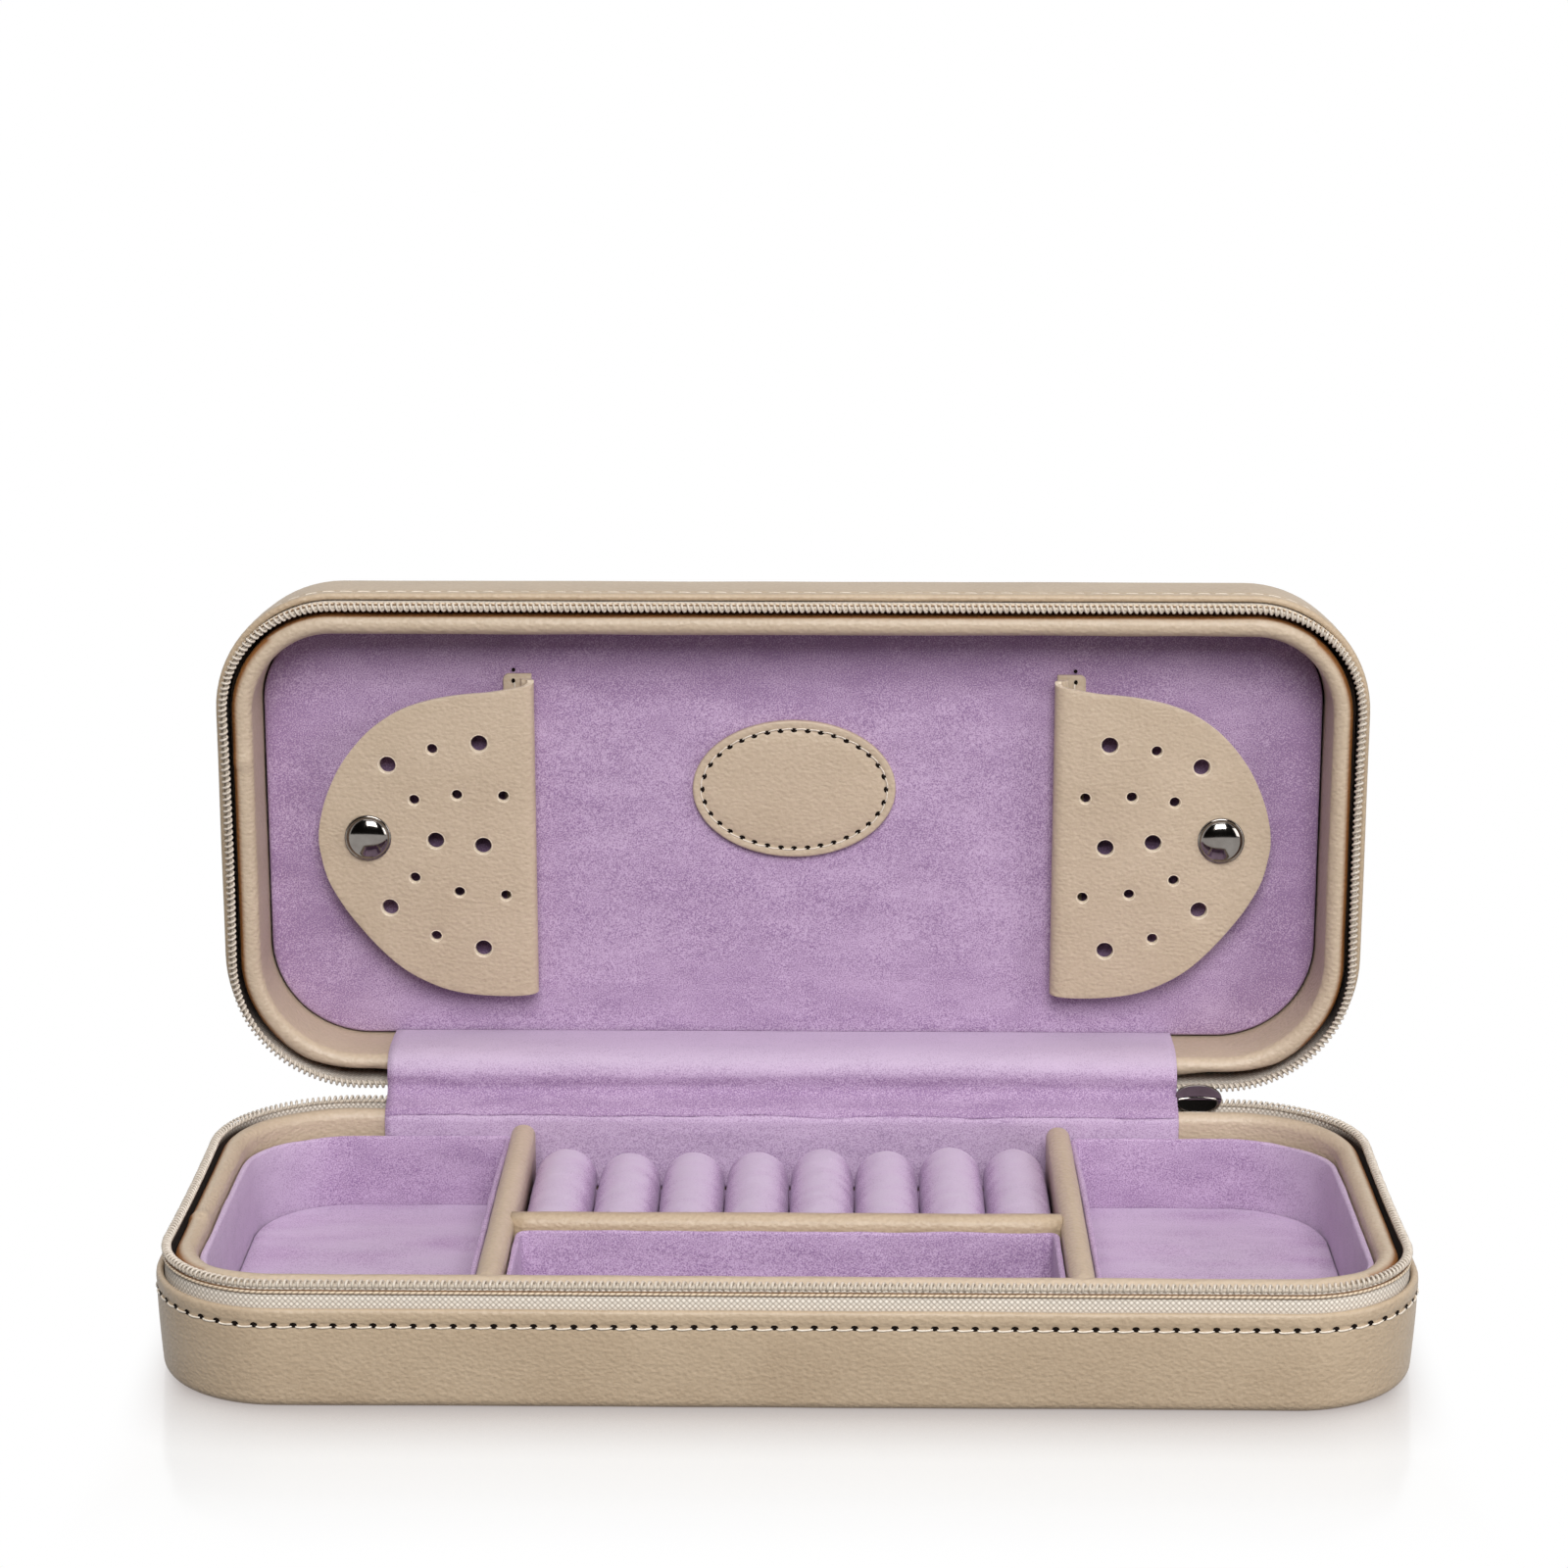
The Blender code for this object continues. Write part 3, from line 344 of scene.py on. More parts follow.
def drawBar(stops, profile):
    # a profile of (inset, height) points drawn along the stops. Its UV map is in mm: along, and round the
    # profile
    bm = bmesh.new()
    across, along = len(profile) - 1, len(stops) - 1
    girth = [0.0]
    for a, b in zip(profile, profile[1:]):
        girth.append(girth[-1] + math.dist(a, b))
    bmesh.ops.create_grid(bm, x_segments=along, y_segments=across, size=0.5)
    uv = bm.loops.layers.uv.new("UVMap")
    spots = {}
    for vert in bm.verts:
        i, j = round((vert.co.x + 0.5) * along), round((vert.co.y + 0.5) * across)
        vert.co = (stops[i], *profile[j])
        spots[vert] = (stops[i], girth[j])
    for face in bm.faces:
        for loop in face.loops:
            loop[uv].uv = spots[loop.vert]
    return bm


def wrapOn(bm, path):
    for vert in bm.verts:
        x, y = pathPoint(path, vert.co.x, vert.co.y)
        vert.co = (x, y, vert.co.z)
    return bm


def closeUp(bm):
    bmesh.ops.remove_doubles(bm, verts=bm.verts, dist=0.002)
    rims = [edge for edge in bm.edges if edge.is_boundary]
    if rims:
        bmesh.ops.holes_fill(bm, edges=rims, sides=0)
    bmesh.ops.recalc_face_normals(bm, faces=bm.faces)
    return bm


def sweep(profile, path, *steps):
    # a closed solid: the profile drawn along the path. The steps are those of pathStops
    return closeUp(wrapOn(drawBar(pathStops(path, *steps), profile), path))


def turnProfile(profile, steps):
    # a profile of (radius, height) points turned round the upright axis
    bm = bmesh.new()
    verts = [bm.verts.new((r, 0.0, z)) for r, z in profile]
    edges = [bm.edges.new(pair) for pair in zip(verts, verts[1:])]
    bmesh.ops.spin(bm, geom=verts + edges, cent=(0.0, 0.0, 0.0), axis=(0.0, 0.0, 1.0),
                   angle=2 * math.pi, steps=steps, use_merge=True)
    return closeUp(bm)


def drawBlock(low, high):
    # a block between its lowest and its highest corner
    bm = bmesh.new()
    bmesh.ops.create_cube(bm, size=1.0)
    bmesh.ops.scale(bm, vec=Vector(high) - Vector(low), verts=bm.verts)
    bmesh.ops.translate(bm, vec=(Vector(low) + Vector(high)) / 2, verts=bm.verts)
    return bm


def roundEdges(bm, edges, offset, segments):
    bmesh.ops.bevel(bm, geom=edges, offset=offset, segments=segments, profile=0.5, affect="EDGES",
                    material=-1)


def cutAcross(bm, axis, places):
    # extra edges at places along x (0) or y (1), so that the surface can swell and ripple
    normal = Vector((0.0, 1.0, 0.0) if axis else (1.0, 0.0, 0.0))
    for at in places:
        bmesh.ops.bisect_plane(bm, geom=bm.verts[:] + bm.edges[:] + bm.faces[:], plane_co=normal * at,
                               plane_no=normal)


def evenCuts(low, high, step):
    count = int((high - low) / step)
    return [low + (high - low) * i / count for i in range(1, count)]


def edgeSpan(edge, axis):
    # how far an edge reaches along an axis
    return abs(edge.verts[0].co[axis] - edge.verts[1].co[axis])


def ripple(bm, size, depth, seed=0.0):
    # soft unevenness of a hand-made piece
    bm.normal_update()
    shift = Vector((seed, seed * 1.7, seed * 0.6))
    for vert in bm.verts:
        vert.co += vert.normal * depth * noise.noise(vert.co / size + shift)


def noiseAt(x, y, z):
    return noise.noise(Vector((x, y, z)))


def setLayer(bm, name, valueAt):
    # a value at each point, which the material reads
    layer = bm.verts.layers.float.new(name)
    for vert in bm.verts:
        vert[layer] = valueAt(*vert.co)


def linkObject(name, data):
    holder = bpy.data.objects.new(name, data)
    bpy.context.scene.collection.objects.link(holder)
    return holder


def meshOf(holder):
    # the mesh that an object's curve or modifiers make
    bpy.context.view_layer.update()
    return bpy.data.meshes.new_from_object(holder.evaluated_get(bpy.context.evaluated_depsgraph_get()))


def takeMesh(mesh):
    # a bmesh of a mesh that isn't needed any more
    bm = bmesh.new()
    bm.from_mesh(mesh)
    bpy.data.meshes.remove(mesh)
    return bm


def makeMesh(bm, name):
    mesh = bpy.data.meshes.new(name)
    bm.to_mesh(mesh)
    bm.free()
    return mesh


def joinTo(bm, other):
    spare = makeMesh(other, "spare")
    bm.from_mesh(spare)
    bpy.data.meshes.remove(spare)


def finishPiece(name, bm, material, body, place=flatFrame, replaces=(), sharp=None):
    bmesh.ops.scale(bm, vec=(mm, mm, mm), verts=bm.verts)
    bmesh.ops.transform(bm, matrix=place, verts=bm.verts)
    mesh = makeMesh(bm, name)
    mesh.materials.append(material)
    mesh.shade_smooth()
    if sharp:
        mesh.set_sharp_from_angle(angle=math.radians(sharp))
    piece = linkObject(name, mesh)
    if body:
        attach(piece, body)
    if replaces:
        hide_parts(replaces)
    return piece


def thicken(piece, thickness):
    # a drawn sheet gets its thickness, half to each side
    shell = piece.modifiers.new("thickness", "SOLIDIFY")
    shell.thickness = thickness * mm
    shell.offset = 0.0
    return shell


def softenEdges(piece, width, segments, angle):
    soften = piece.modifiers.new("edge", "BEVEL")
    soften.width = width * mm
    soften.segments = segments
    soften.limit_method = "ANGLE"
    soften.angle_limit = math.radians(angle)


def smoothLine(points, parts):
    # a smooth line through the points
    line = []
    for i in range(len(points) - 1):
        p = [Vector(points[max(0, min(len(points) - 1, i + k))]) for k in (-1, 0, 1, 2)]
        for step in range(parts):
            t = step / parts
            line.append(0.5 * (2 * p[1] + (p[2] - p[0]) * t + (2 * p[0] - 5 * p[1] + 4 * p[2] - p[3]) * t * t
                               + (3 * p[1] - p[0] - 3 * p[2] + p[3]) * t ** 3))
    return line + [Vector(points[-1])]


def drawCurve(lines, cyclic, **settings):
    # a mesh of round threads, or of a filled outline, through lists of points
    curve = bpy.data.curves.new("lines", "CURVE")
    for name, value in settings.items():
        setattr(curve, name, value)
    for points in lines:
        spline = curve.splines.new("POLY")
        spline.points.add(len(points) - 1)
        for point, place in zip(spline.points, points):
            point.co = (*place, 1.0)
        spline.use_cyclic_u = cyclic
    holder = linkObject("lines", curve)
    drawn = meshOf(holder)
    bpy.data.objects.remove(holder, do_unlink=True)
    return takeMesh(drawn)


def drawThreads(lines, thickness, sides=1):
    return drawCurve(lines, False, dimensions="3D", bevel_depth=thickness / 2, bevel_resolution=sides,
                     use_fill_caps=True)


# A stitch's thread rises from one hole, lies along the leather and dips into the next: forward, out, up
stitchLine = [(0.12, 0.02, -0.24), (0.20, 0.15, -0.38), (0.38, 0.19, -0.40), (0.60, 0.19, -0.34),
              (0.78, 0.16, -0.26), (0.90, 0.02, -0.16)]


def stitchRow(name, spots, settings, body, place):
    # spots(i, forward, out, up) gives a point beside stitch i. A thread lies between each two holes, which
    # are flat dark discs: painted shade
    lines = []
    holes = bmesh.new()
    wide, high = settings["hole"], settings["hole"] * 0.74
    for i in range(settings["count"]):
        lift, slip = random.uniform(-0.05, 0.05), random.uniform(-0.02, 0.02)
        lines.append([spots(i, forward + slip, out, up + lift) for forward, out, up in stitchLine])
        middle = Vector(spots(i, slip, 0.15, 0.06 + lift))
        ahead = (Vector(spots(i, slip + 0.1, 0.15, 0.06 + lift)) - middle).normalized()
        upward = (Vector(spots(i, slip, 0.15, 1.06 + lift)) - middle).normalized()
        turn = Matrix((ahead * wide / 2, upward * high / 2, ahead.cross(upward))).transposed().to_4x4()
        bmesh.ops.create_circle(holes, cap_ends=True, segments=8, radius=1.0,
                                matrix=Matrix.Translation(middle) @ turn)
    finishPiece(name + "HoleShade", holes, look["hole"], body, place, ())
    finishPiece(name + "Thread", drawThreads(lines, settings["thread"]), look["thread"], body, place, ())


# the two shells: leather cover, zip and rim

cover = {"taper": 0.85, "bottomRadius": 2.2, "lipRadius": 0.7, "lipBulge": 0.12, "seamHeight": 16.9,
         "seamDepth": 0.16, "wall": 1.2, "floorTo": 16.0, "ripple": 0.10, "rubbed": 0.4}
# the lid's row is pulled tighter into the leather
coverSeam = {"pitch": 3.7, "thread": 0.36, "hole": 1.45, "lidShare": 0.62}
zipParts = {"tapeInset": 1.8, "tape": 0.5, "tapeLow": 15.0, "tapeHigh": 23.9, "tapeLean": 0.20,
            "cordInset": 1.42, "cordHeight": 22.85, "cordRadius": 0.27, "bedHalf": 0.46, "coreRadius": 0.40,
            "coilInset": 1.9, "coilHeight": 24.38, "pitch": 1.27, "wire": 0.54, "loopWide": 0.70,
            "loopHigh": 0.62, "slack": 0.55, "slackFrom": 112.0, "slackHalf": 38.0, "slackLow": 19.0,
            "paintedGapShadowFrom": 109.0}
rim = {"inset": 3.7, "width": 4.25, "low": 2.8, "high": 24.0, "round": 2.1, "ripple": 0.12, "frontRise": 0.6,
       "backDrop": 0.4, "pared": 1.0, "overlap": 0.8, "overlapX": -115.7, "overlapY": (-16.8, 17.0),
       "cutFrom": 108.0, "cutFront": -44.0}


def shellPath(mirrored):
    halfX, halfY = case["width"] / 2, case["depth"] / 2
    hinge, far = case["hingeRadius"], case["farRadius"]
    return roundPath(-halfX, halfX, -halfY, halfY, (hinge, far, far, hinge), mirrored)


def coverProfile():
    low, lip, seam, wall = cover["bottomRadius"], cover["lipRadius"], cover["seamHeight"], cover["wall"]
    depth, bulge, reach, top = cover["seamDepth"], cover["lipBulge"], cover["floorTo"], case["shell"]

    def lean(height):
        return cover["taper"] * max(0.0, 1 - height / 15.0) ** 1.4

    points = [(reach, 0.0), (9.0, 0.0), (lean(0) + low + 0.8, 0.0)]
    points += arc(lean(low) + low, low, low, low, 270.0, 180.0, 6)
    points += [(lean(h), h) for h in (3.2, 4.8, 7.0, 9.5, 12.0, 14.0, 15.4)]
    points += [(0.0, seam - 0.7), (depth * 0.5, seam - 0.3), (depth, seam), (depth * 0.4, seam + 0.35),
               (-bulge * 0.6, seam + 0.8), (-bulge, seam + 1.4), (-bulge * 0.8, top - lip - 0.3)]
    points += arc(lip - bulge * 0.5, top - lip, lip, lip, 180.0, 0.0, 6)
    points += [(wall + 0.05, 17.5), (wall, 14.0), (wall + 0.4, 6.0), (wall + lean(2.4), 3.2),
               (wall + lean(0) + 1.2, wall), (9.0, wall), (reach, wall)]
    return points


def addCover(half, path, mirrored, place):
    bm = drawBar(pathStops(path, 5.0, 2.2), coverProfile())
    # the base's lower edge is rubbed a little browner
    setLayer(bm, "brownTint", lambda along, inset, z: cover["rubbed"] if not mirrored and 0.05 < z < 0.35
             and inset < 5.0 else 0.0)
    closeUp(wrapOn(bm, path))
    ripple(bm, 22.0, cover["ripple"], 3.0 if mirrored else 8.0)
    finishPiece(half + "CoverLeather", bm, look["coverLeather"], half, place, half + "_cover")


def addCoverSeam(half, path, mirrored, place):
    # a row of stitches all round, below the lip
    count = round(path["length"] / coverSeam["pitch"])
    step = path["length"] / count

    def coverSpot(i, forward, out, up):
        along = (i + forward) * step % path["length"]
        sunk = 0.6
        if mirrored:
            # the lid's row is sunk deeper, most of all along its far side
            sunk = 1.9 if pathPoint(path, along, cover["seamDepth"] * sunk - out)[1] > 46.0 else 1.3
        x, y = pathPoint(path, along, cover["seamDepth"] * sunk - out)
        return x, y, cover["seamHeight"] + up

    share = coverSeam["lidShare"] if mirrored else 1.0
    stitchRow(half + "CoverSeam", coverSpot, {"count": count, "thread": coverSeam["thread"] * share,
                                              "hole": coverSeam["hole"] * share}, half, place)


def slackened(x, y, z):
    # along the two short sides the zip is a little slack, and its upper part leans in
    end = clamp((abs(x) - zipParts["slackFrom"]) / 4.0) * max(0.0, 1 - (y / zipParts["slackHalf"]) ** 2)
    upper = clamp((z - zipParts["slackLow"]) / 4.0)
    return x - math.copysign(zipParts["slack"], x) * end * upper, y, z


def slackenAll(bm):
    for vert in bm.verts:
        vert.co = slackened(*vert.co)
    return bm


def zipEnds(path):
    return case["zipEnd"], path["length"] - case["zipEnd"]


def addTape(half, path, place):
    # woven tape, from inside the lip up to the coil, leaning in towards the rim
    low, high, lean = zipParts["tapeLow"], zipParts["tapeHigh"], zipParts["tapeLean"]
    outer, inner = zipParts["tapeInset"] - zipParts["tape"] / 2, zipParts["tapeInset"] + zipParts["tape"] / 2
    profile = [(outer, low), (outer, 19.0), (outer - 0.05, 21.0), (outer + lean, high - 0.15),
               (outer + lean + 0.15, high), (inner + lean - 0.15, high), (inner + lean, high - 0.15),
               (inner + lean * 0.7, high - 1.5), (inner + lean * 0.4, high - 2.4), (inner, 19.0),
               (inner, low), (outer, low)]
    bm = drawBar(pathStops(path, 4.0, 1.6, *zipEnds(path)), profile)
    # painted shadow: the inner face below the coil is dark brown, where the gap to the rim is in shade
    setLayer(bm, "paintedGapShadow", lambda along, inset, z: 1.0 if inset > inner - 0.01 and z < high - 1.4 else 0.0)
    wrapOn(bm, path)
    # the painted shadow runs down both short sides
    paintedGapShadow = bm.verts.layers.float["paintedGapShadow"]
    for vert in bm.verts:
        vert[paintedGapShadow] *= clamp((abs(vert.co.x) - zipParts["paintedGapShadowFrom"]) / 6.0)
    slackenAll(closeUp(bm))
    ripple(bm, 9.0, 0.06, 5.0)
    finishPiece(half + "ZipTape", bm, look["tape"], half, place, half + "_zip_tape", 40.0)


def addZipLine(name, path, profile, material, half, place, sharp=None):
    # a cord or a thread that runs along the zip
    bm = slackenAll(sweep(profile, path, 3.0, 1.2, *zipEnds(path)))
    finishPiece(half + name, bm, material, half, place, (), sharp)


def addZipCords(half, path, place):
    # twisted cord that lies along the foot of the coil
    inset, middle, bed = zipParts["cordInset"], zipParts["cordHeight"], zipParts["bedHalf"]
    twisted = arc(inset, middle, zipParts["cordRadius"], zipParts["cordRadius"], 0.0, 360.0, 10)
    addZipLine("ZipCord", path, twisted, look["cord"], half, place, 60.0)
    # a dark band under the cord, seen as a thin line on each side of it: painted shadow
    shadowBand = [(inset + 0.5, middle - bed), (inset + 0.12, middle - bed), (inset, middle - bed + 0.12),
               (inset, middle + bed - 0.12), (inset + 0.12, middle + bed), (inset + 0.5, middle + bed),
               (inset + 0.5, middle - bed)]
    addZipLine("ZipCordShadowBand", path, shadowBand, look["cordShadowBand"], half, place)
    # filler cord inside the coil
    core = arc(zipParts["coilInset"] + 0.1, zipParts["coilHeight"] - 0.42, zipParts["coreRadius"],
               zipParts["coreRadius"], 0.0, 360.0, 10)
    addZipLine("ZipCore", path, core, look["filler"], half, place)


def addCoil(half, path, place):
    # one nylon wire wound round and round
    first, last = zipEnds(path)
    wire = []
    for turn in range(int((last - first - 0.6) / zipParts["pitch"])):
        for k in range(12):
            angle = 2 * math.pi * k / 12
            # the outer half of each loop stands straight, and the inner half crosses to the next one
            share = 0.5 - 0.5 * math.cos(angle / 2)
            along = first + 0.3 + zipParts["pitch"] * (turn + share)
            x, y = pathPoint(path, along, zipParts["coilInset"] - zipParts["loopWide"] * math.cos(angle))
            wire.append(slackened(x, y, zipParts["coilHeight"] + zipParts["loopHigh"] * math.sin(angle)))
    finishPiece(half + "ZipCoil", drawThreads([wire], zipParts["wire"]), look["coil"], half, place,
                half + "_zip_coil")


def rimProfile():
    inset, low, high, bend = rim["inset"], rim["low"], rim["high"], rim["round"]
    inner = inset + rim["width"]
    points = [(inset + 0.3, low), (inset, low + 0.4), (inset, 10.0), (inset, 16.0)]
    points += arc(inset + bend, high - bend, bend, bend, 180.0, 90.0, 6)
    points += arc(inner - bend, high - bend, bend, bend, 75.0, 0.0, 5)
    return points + [(inner, 16.0), (inner, 10.0), (inner, low + 0.4), (inner - 0.3, low), (inset + 0.3, low)]


def addRim(half, path, mirrored, place):
    # leather-wrapped frame with a round top edge
    inset, high, bend = rim["inset"], rim["high"], rim["round"]

    def cutEdge(along, y, z):
        # the outer side is tinted orange-brown, and less so where it turns over the top
        if inset < y < inset + bend * 0.52 and z > high - bend * 0.2:
            return 0.4
        return 0.95 if y < inset + bend * 0.31 and z < high - bend * 0.25 else 0.0

    bm = drawBar(pathStops(path, 1.3, 1.5), rimProfile())
    setLayer(bm, "brownTint", cutEdge)
    closeUp(wrapOn(bm, path))
    brownShare = bm.verts.layers.float["brownTint"]
    overlapY = rim["overlapY"][1 if mirrored else 0]
    for vert in bm.verts:
        x, y, z = vert.co
        # the brown tint reaches further up at the two ends, and is left off behind the front teeth
        if not mirrored and y < rim["cutFront"] or abs(x) < rim["cutFrom"] and z > high - bend * 0.4:
            vert[brownShare] = 0.0
        # the base's rim is a little higher at the front and a little lower at the back
        if not mirrored and z > 18.0:
            vert.co.z -= rim["backDrop"] * clamp((y - 40.0) / 6.0)
            vert.co.z += rim["frontRise"] * clamp((-y - 41.0) / 5.0)
        # at the lid's two lower corners the frame is pared down, and more of the tape shows
        if mirrored:
            vert.co.y += rim["pared"] * clamp((-y - 46.5) / 3.3) * clamp((abs(x) - 80.0) / 8.0)
        # the wrapping's ends overlap on the left
        beyond = vert.co.y - overlapY
        gap = math.dist(vert.co[:2], (rim["overlapX"], overlapY))
        if vert.co.z > 19.0 and gap < 9.0 and 0.0 < beyond:
            vert.co.z += rim["overlap"] * max(0.0, 1 - beyond / 4.5)
    ripple(bm, 15.0, rim["ripple"], 2.0 if mirrored else 6.0)
    finishPiece(half + "RimLeather", bm, look["leather"], half, place, half + "_rim")


for half, mirrored, place in (("base", False, flatFrame), ("lid", True, lidFrame)):
    halfPath = shellPath(mirrored)
    addCover(half, halfPath, mirrored, place)
    addCoverSeam(half, halfPath, mirrored, place)
    addTape(half, halfPath, place)
    addZipCords(half, halfPath, place)
    addCoil(half, halfPath, place)
    addRim(half, halfPath, mirrored, place)
    print(half, "shell done")


# velvet trays in the base

tray = {"wall": 1.2, "low": 2.8, "floor": 4.1, "drawnTop": 20.0, "backTop": 19.1, "sideTop": 21.2,
        "troughTop": 20.6, "corner": 2.2, "softEdge": 0.55, "tubInner": 58.5, "troughHalf": 52.9,
        "troughBack": -13.7, "wave": 0.34, "crown": 0.35}
# the space inside the base's rim: how far in it starts, and how far it reaches to the back
cell = {"inset": 8.25, "back": 44.15}
cell["x"] = case["width"] / 2 - cell["inset"]
cell["front"] = case["depth"] / 2 - cell["inset"]


def addTrayWalls(name, node, corners, radii, topAt):
    wall, soft, low, top = tray["wall"], tray["softEdge"], tray["low"], tray["drawnTop"]
    profile = [(0.25, low), (0.0, low + 0.3), (0.0, 9.0), (0.0, 15.0), (0.0, top - soft)]
    profile += arc(wall / 2, top - soft, wall / 2, soft, 180.0, 0.0, 6)
    profile += [(wall + 0.05, 15.0), (wall + 0.10, 10.0), (wall + 0.06, 6.0), (wall, tray["floor"] - 0.3),
                (wall, low), (0.25, low)]
    bm = sweep(profile, roundPath(*corners, radii), 2.5, 1.0)
    for vert in bm.verts:
        x, y, z = vert.co
        rise = max(0.0, z - 12.0) / 8.0
        vert.co.z += rise * (topAt(x, y) - top + tray["wave"] * noiseAt(x / 13.0, y / 13.0, 1.0))
    ripple(bm, 7.0, 0.14, 4.0)
    # painted light: the walls are paler towards the case's two ends
    setLayer(bm, "napToneAndPaintedLight", lambda x, y, z: 0.36 * clamp((abs(x) - 96.0) / 14.0))
    finishPiece(name + "Wall", bm, look["velvet"], "base", flatFrame, node)


def addTrayFloor(name, corners, radii):
    # a covered card with a soft edge, a little crowned
    x0, x1, y0, y1 = corners
    inset, floor = tray["wall"] + 0.12, tray["floor"]
    smaller = [max(1.0, radius - tray["wall"]) for radius in radii]
    path = roundPath(x0 + inset, x1 - inset, y0 + inset, y1 - inset, smaller)
    profile = [(0.7, tray["low"] + 0.1), (0.0, floor - 0.7), (0.08, floor - 0.30), (0.35, floor - 0.06),
               (0.9, floor)]
    bm = sweep(profile, path, 2.5, 1.5)
    cutAcross(bm, 0, evenCuts(x0, x1, 3.0))
    cutAcross(bm, 1, evenCuts(y0, y1, 3.0))
    for vert in bm.verts:
        x, y, z = vert.co
        if z > floor - 0.1:
            reach = max(abs(x - (x0 + x1) / 2) / (x1 - x0), abs(y - (y0 + y1) / 2) / (y1 - y0)) * 2
            vert.co.z += tray["crown"] * max(0.0, 1 - reach ** 3) + 0.12 * noise.noise(vert.co / 11.0)
    # painted sheen: the floors' nap is paler all over, with random streaks of tone
    setLayer(bm, "napToneAndPaintedLight", lambda x, y, z: 0.28 + 0.35 * noiseAt(x / 16.0, y / 5.0, 8.0))
    finishPiece(name + "Floor", bm, look["velvet"], "base", flatFrame, ())


def tubTop(x, y):
    # low at the back, higher along the outer end
    return tray["sideTop"] + (tray["backTop"] - tray["sideTop"]) * clamp((y - 5.0) / 35.0) ** 1.6


hingeCorner, farCorner = case["hingeRadius"] - cell["inset"], case["farRadius"] - cell["inset"]
corner = tray["corner"]
for name, node, corners, radii, topAt in (
        ("tubLeft", "tub_left", (-cell["x"], -tray["tubInner"], -cell["front"], cell["back"]),
         (hingeCorner, farCorner, corner, corner), tubTop),
        ("tubRight", "tub_right", (tray["tubInner"], cell["x"], -cell["front"], cell["back"]),
         (corner, corner, farCorner, hingeCorner), tubTop),
        ("trough", "trough_front",
         (-tray["troughHalf"], tray["troughHalf"], -cell["front"], tray["troughBack"]),
         (corner, corner, corner, corner), lambda x, y: tray["troughTop"])):
    addTrayWalls(name, node, corners, radii, topAt)
    addTrayFloor(name, corners, radii)
print("trays done")


# dividers, ring bed and rolls

divider = {"inner": 53.2, "outer": 58.2, "back": 40.9, "top": 23.3, "cross": (-53.9, 53.5, -13.4, -8.4),
           "crossTop": 23.0, "low": 2.8, "round": 2.35, "ripple": 0.10, "crossPaintedShade": 0.03}


def addDivider(name, node, x0, x1, y0, y1, top):
    # a leather-wrapped bar. The two side bars have round ends, and the cross bar lies along x between them
    bm = drawBlock((x0, y0, divider["low"]), (x1, y1, top))
    crossBar = x1 - x0 > y1 - y0
    axis, low, high = (0, x0, x1) if crossBar else (1, y0, y1)
    rounded = []
    for edge in bm.edges:
        onTop = min(vert.co.z for vert in edge.verts) > top - 0.01
        upright = edgeSpan(edge, 2) > 1.0
        if onTop and (edgeSpan(edge, axis) > 1.0 or not crossBar) or upright and not crossBar:
            rounded.append(edge)
    roundEdges(bm, rounded, divider["round"], 7)
    cutAcross(bm, axis, [low + 3.5 * i for i in range(1, int((high - low) / 3.5))])
    closeUp(bm)
    # painted shade: the whole cross bar is tinted a little browner, standing in for less light on its top
    setLayer(bm, "brownTint", lambda x, y, z: divider["crossPaintedShade"] if crossBar else 0.0)
    ripple(bm, 12.0, divider["ripple"], x0)
    finishPiece(name, bm, look["coverLeather" if crossBar else "leather"], "base", flatFrame, node)


addDivider("dividerLeftLeather", "divider_left", -divider["outer"], -divider["inner"], -cell["front"],
           divider["back"], divider["top"])
addDivider("dividerRightLeather", "divider_right", divider["inner"], divider["outer"], -cell["front"],
           divider["back"], divider["top"])
addDivider("dividerCrossLeather", "divider_cross", *divider["cross"], divider["crossTop"])

rolls = {"count": 8, "pitch": 13.225, "radius": 6.45, "front": -8.1, "back": 37.5, "centre": 14.45,
         "steps": 30, "rings": 34, "sink": (0.75, 1.5, 1.3, 1.1, 0.55, 0.75, 0.0, 0.3)}
stuffing = {"scale": 0.02, "apart": 18.0, "voxel": 0.95, "slim": 0.3, "unevenness": 0.004, "pressure": 4.0,
            "spareCloth": 0.07, "frames": 20, "mostMove": 0.75}


def rollShape(radius, length):
    # a finger with a round back end and a tucked front end, standing on its front end
    profile, shoulder = [(0.0, length)], length - radius * 0.9
    for i in range(1, 9):
        angle = math.radians(90.0) * i / 8
        profile.append((radius * math.sin(angle) ** 0.9, shoulder + radius * 0.9 * math.cos(angle)))
    for i in range(1, rolls["rings"]):
        profile.append((radius, shoulder * (1 - i / rolls["rings"]) + 1.2 * i / rolls["rings"]))
    profile += [(radius, 1.2), (radius - 0.5, 0.35), (radius - 1.3, 0.0), (radius / 2, 0.1), (0.0, 0.1)]
    return turnProfile(profile, rolls["steps"])


def startRolls(big):
    # all rolls side by side, well apart and a little slim, as one even mesh
    pads = bmesh.new()
    for index in range(rolls["count"]):
        one = rollShape(rolls["radius"] - stuffing["slim"], rolls["back"] - rolls["front"] - stuffing["slim"])
        bmesh.ops.translate(one, vec=(index * stuffing["apart"], 0.0, 0.0), verts=one.verts)
        joinTo(pads, one)
    bmesh.ops.scale(pads, vec=(big, big, big), verts=pads.verts)
    holder = linkObject("rollStuffing", makeMesh(pads, "rollStuffing"))
    remesh = holder.modifiers.new("even", "REMESH")
    remesh.mode = "VOXEL"
    remesh.voxel_size = stuffing["voxel"] * big
    holder.data = meshOf(holder)
    holder.modifiers.clear()
    return holder


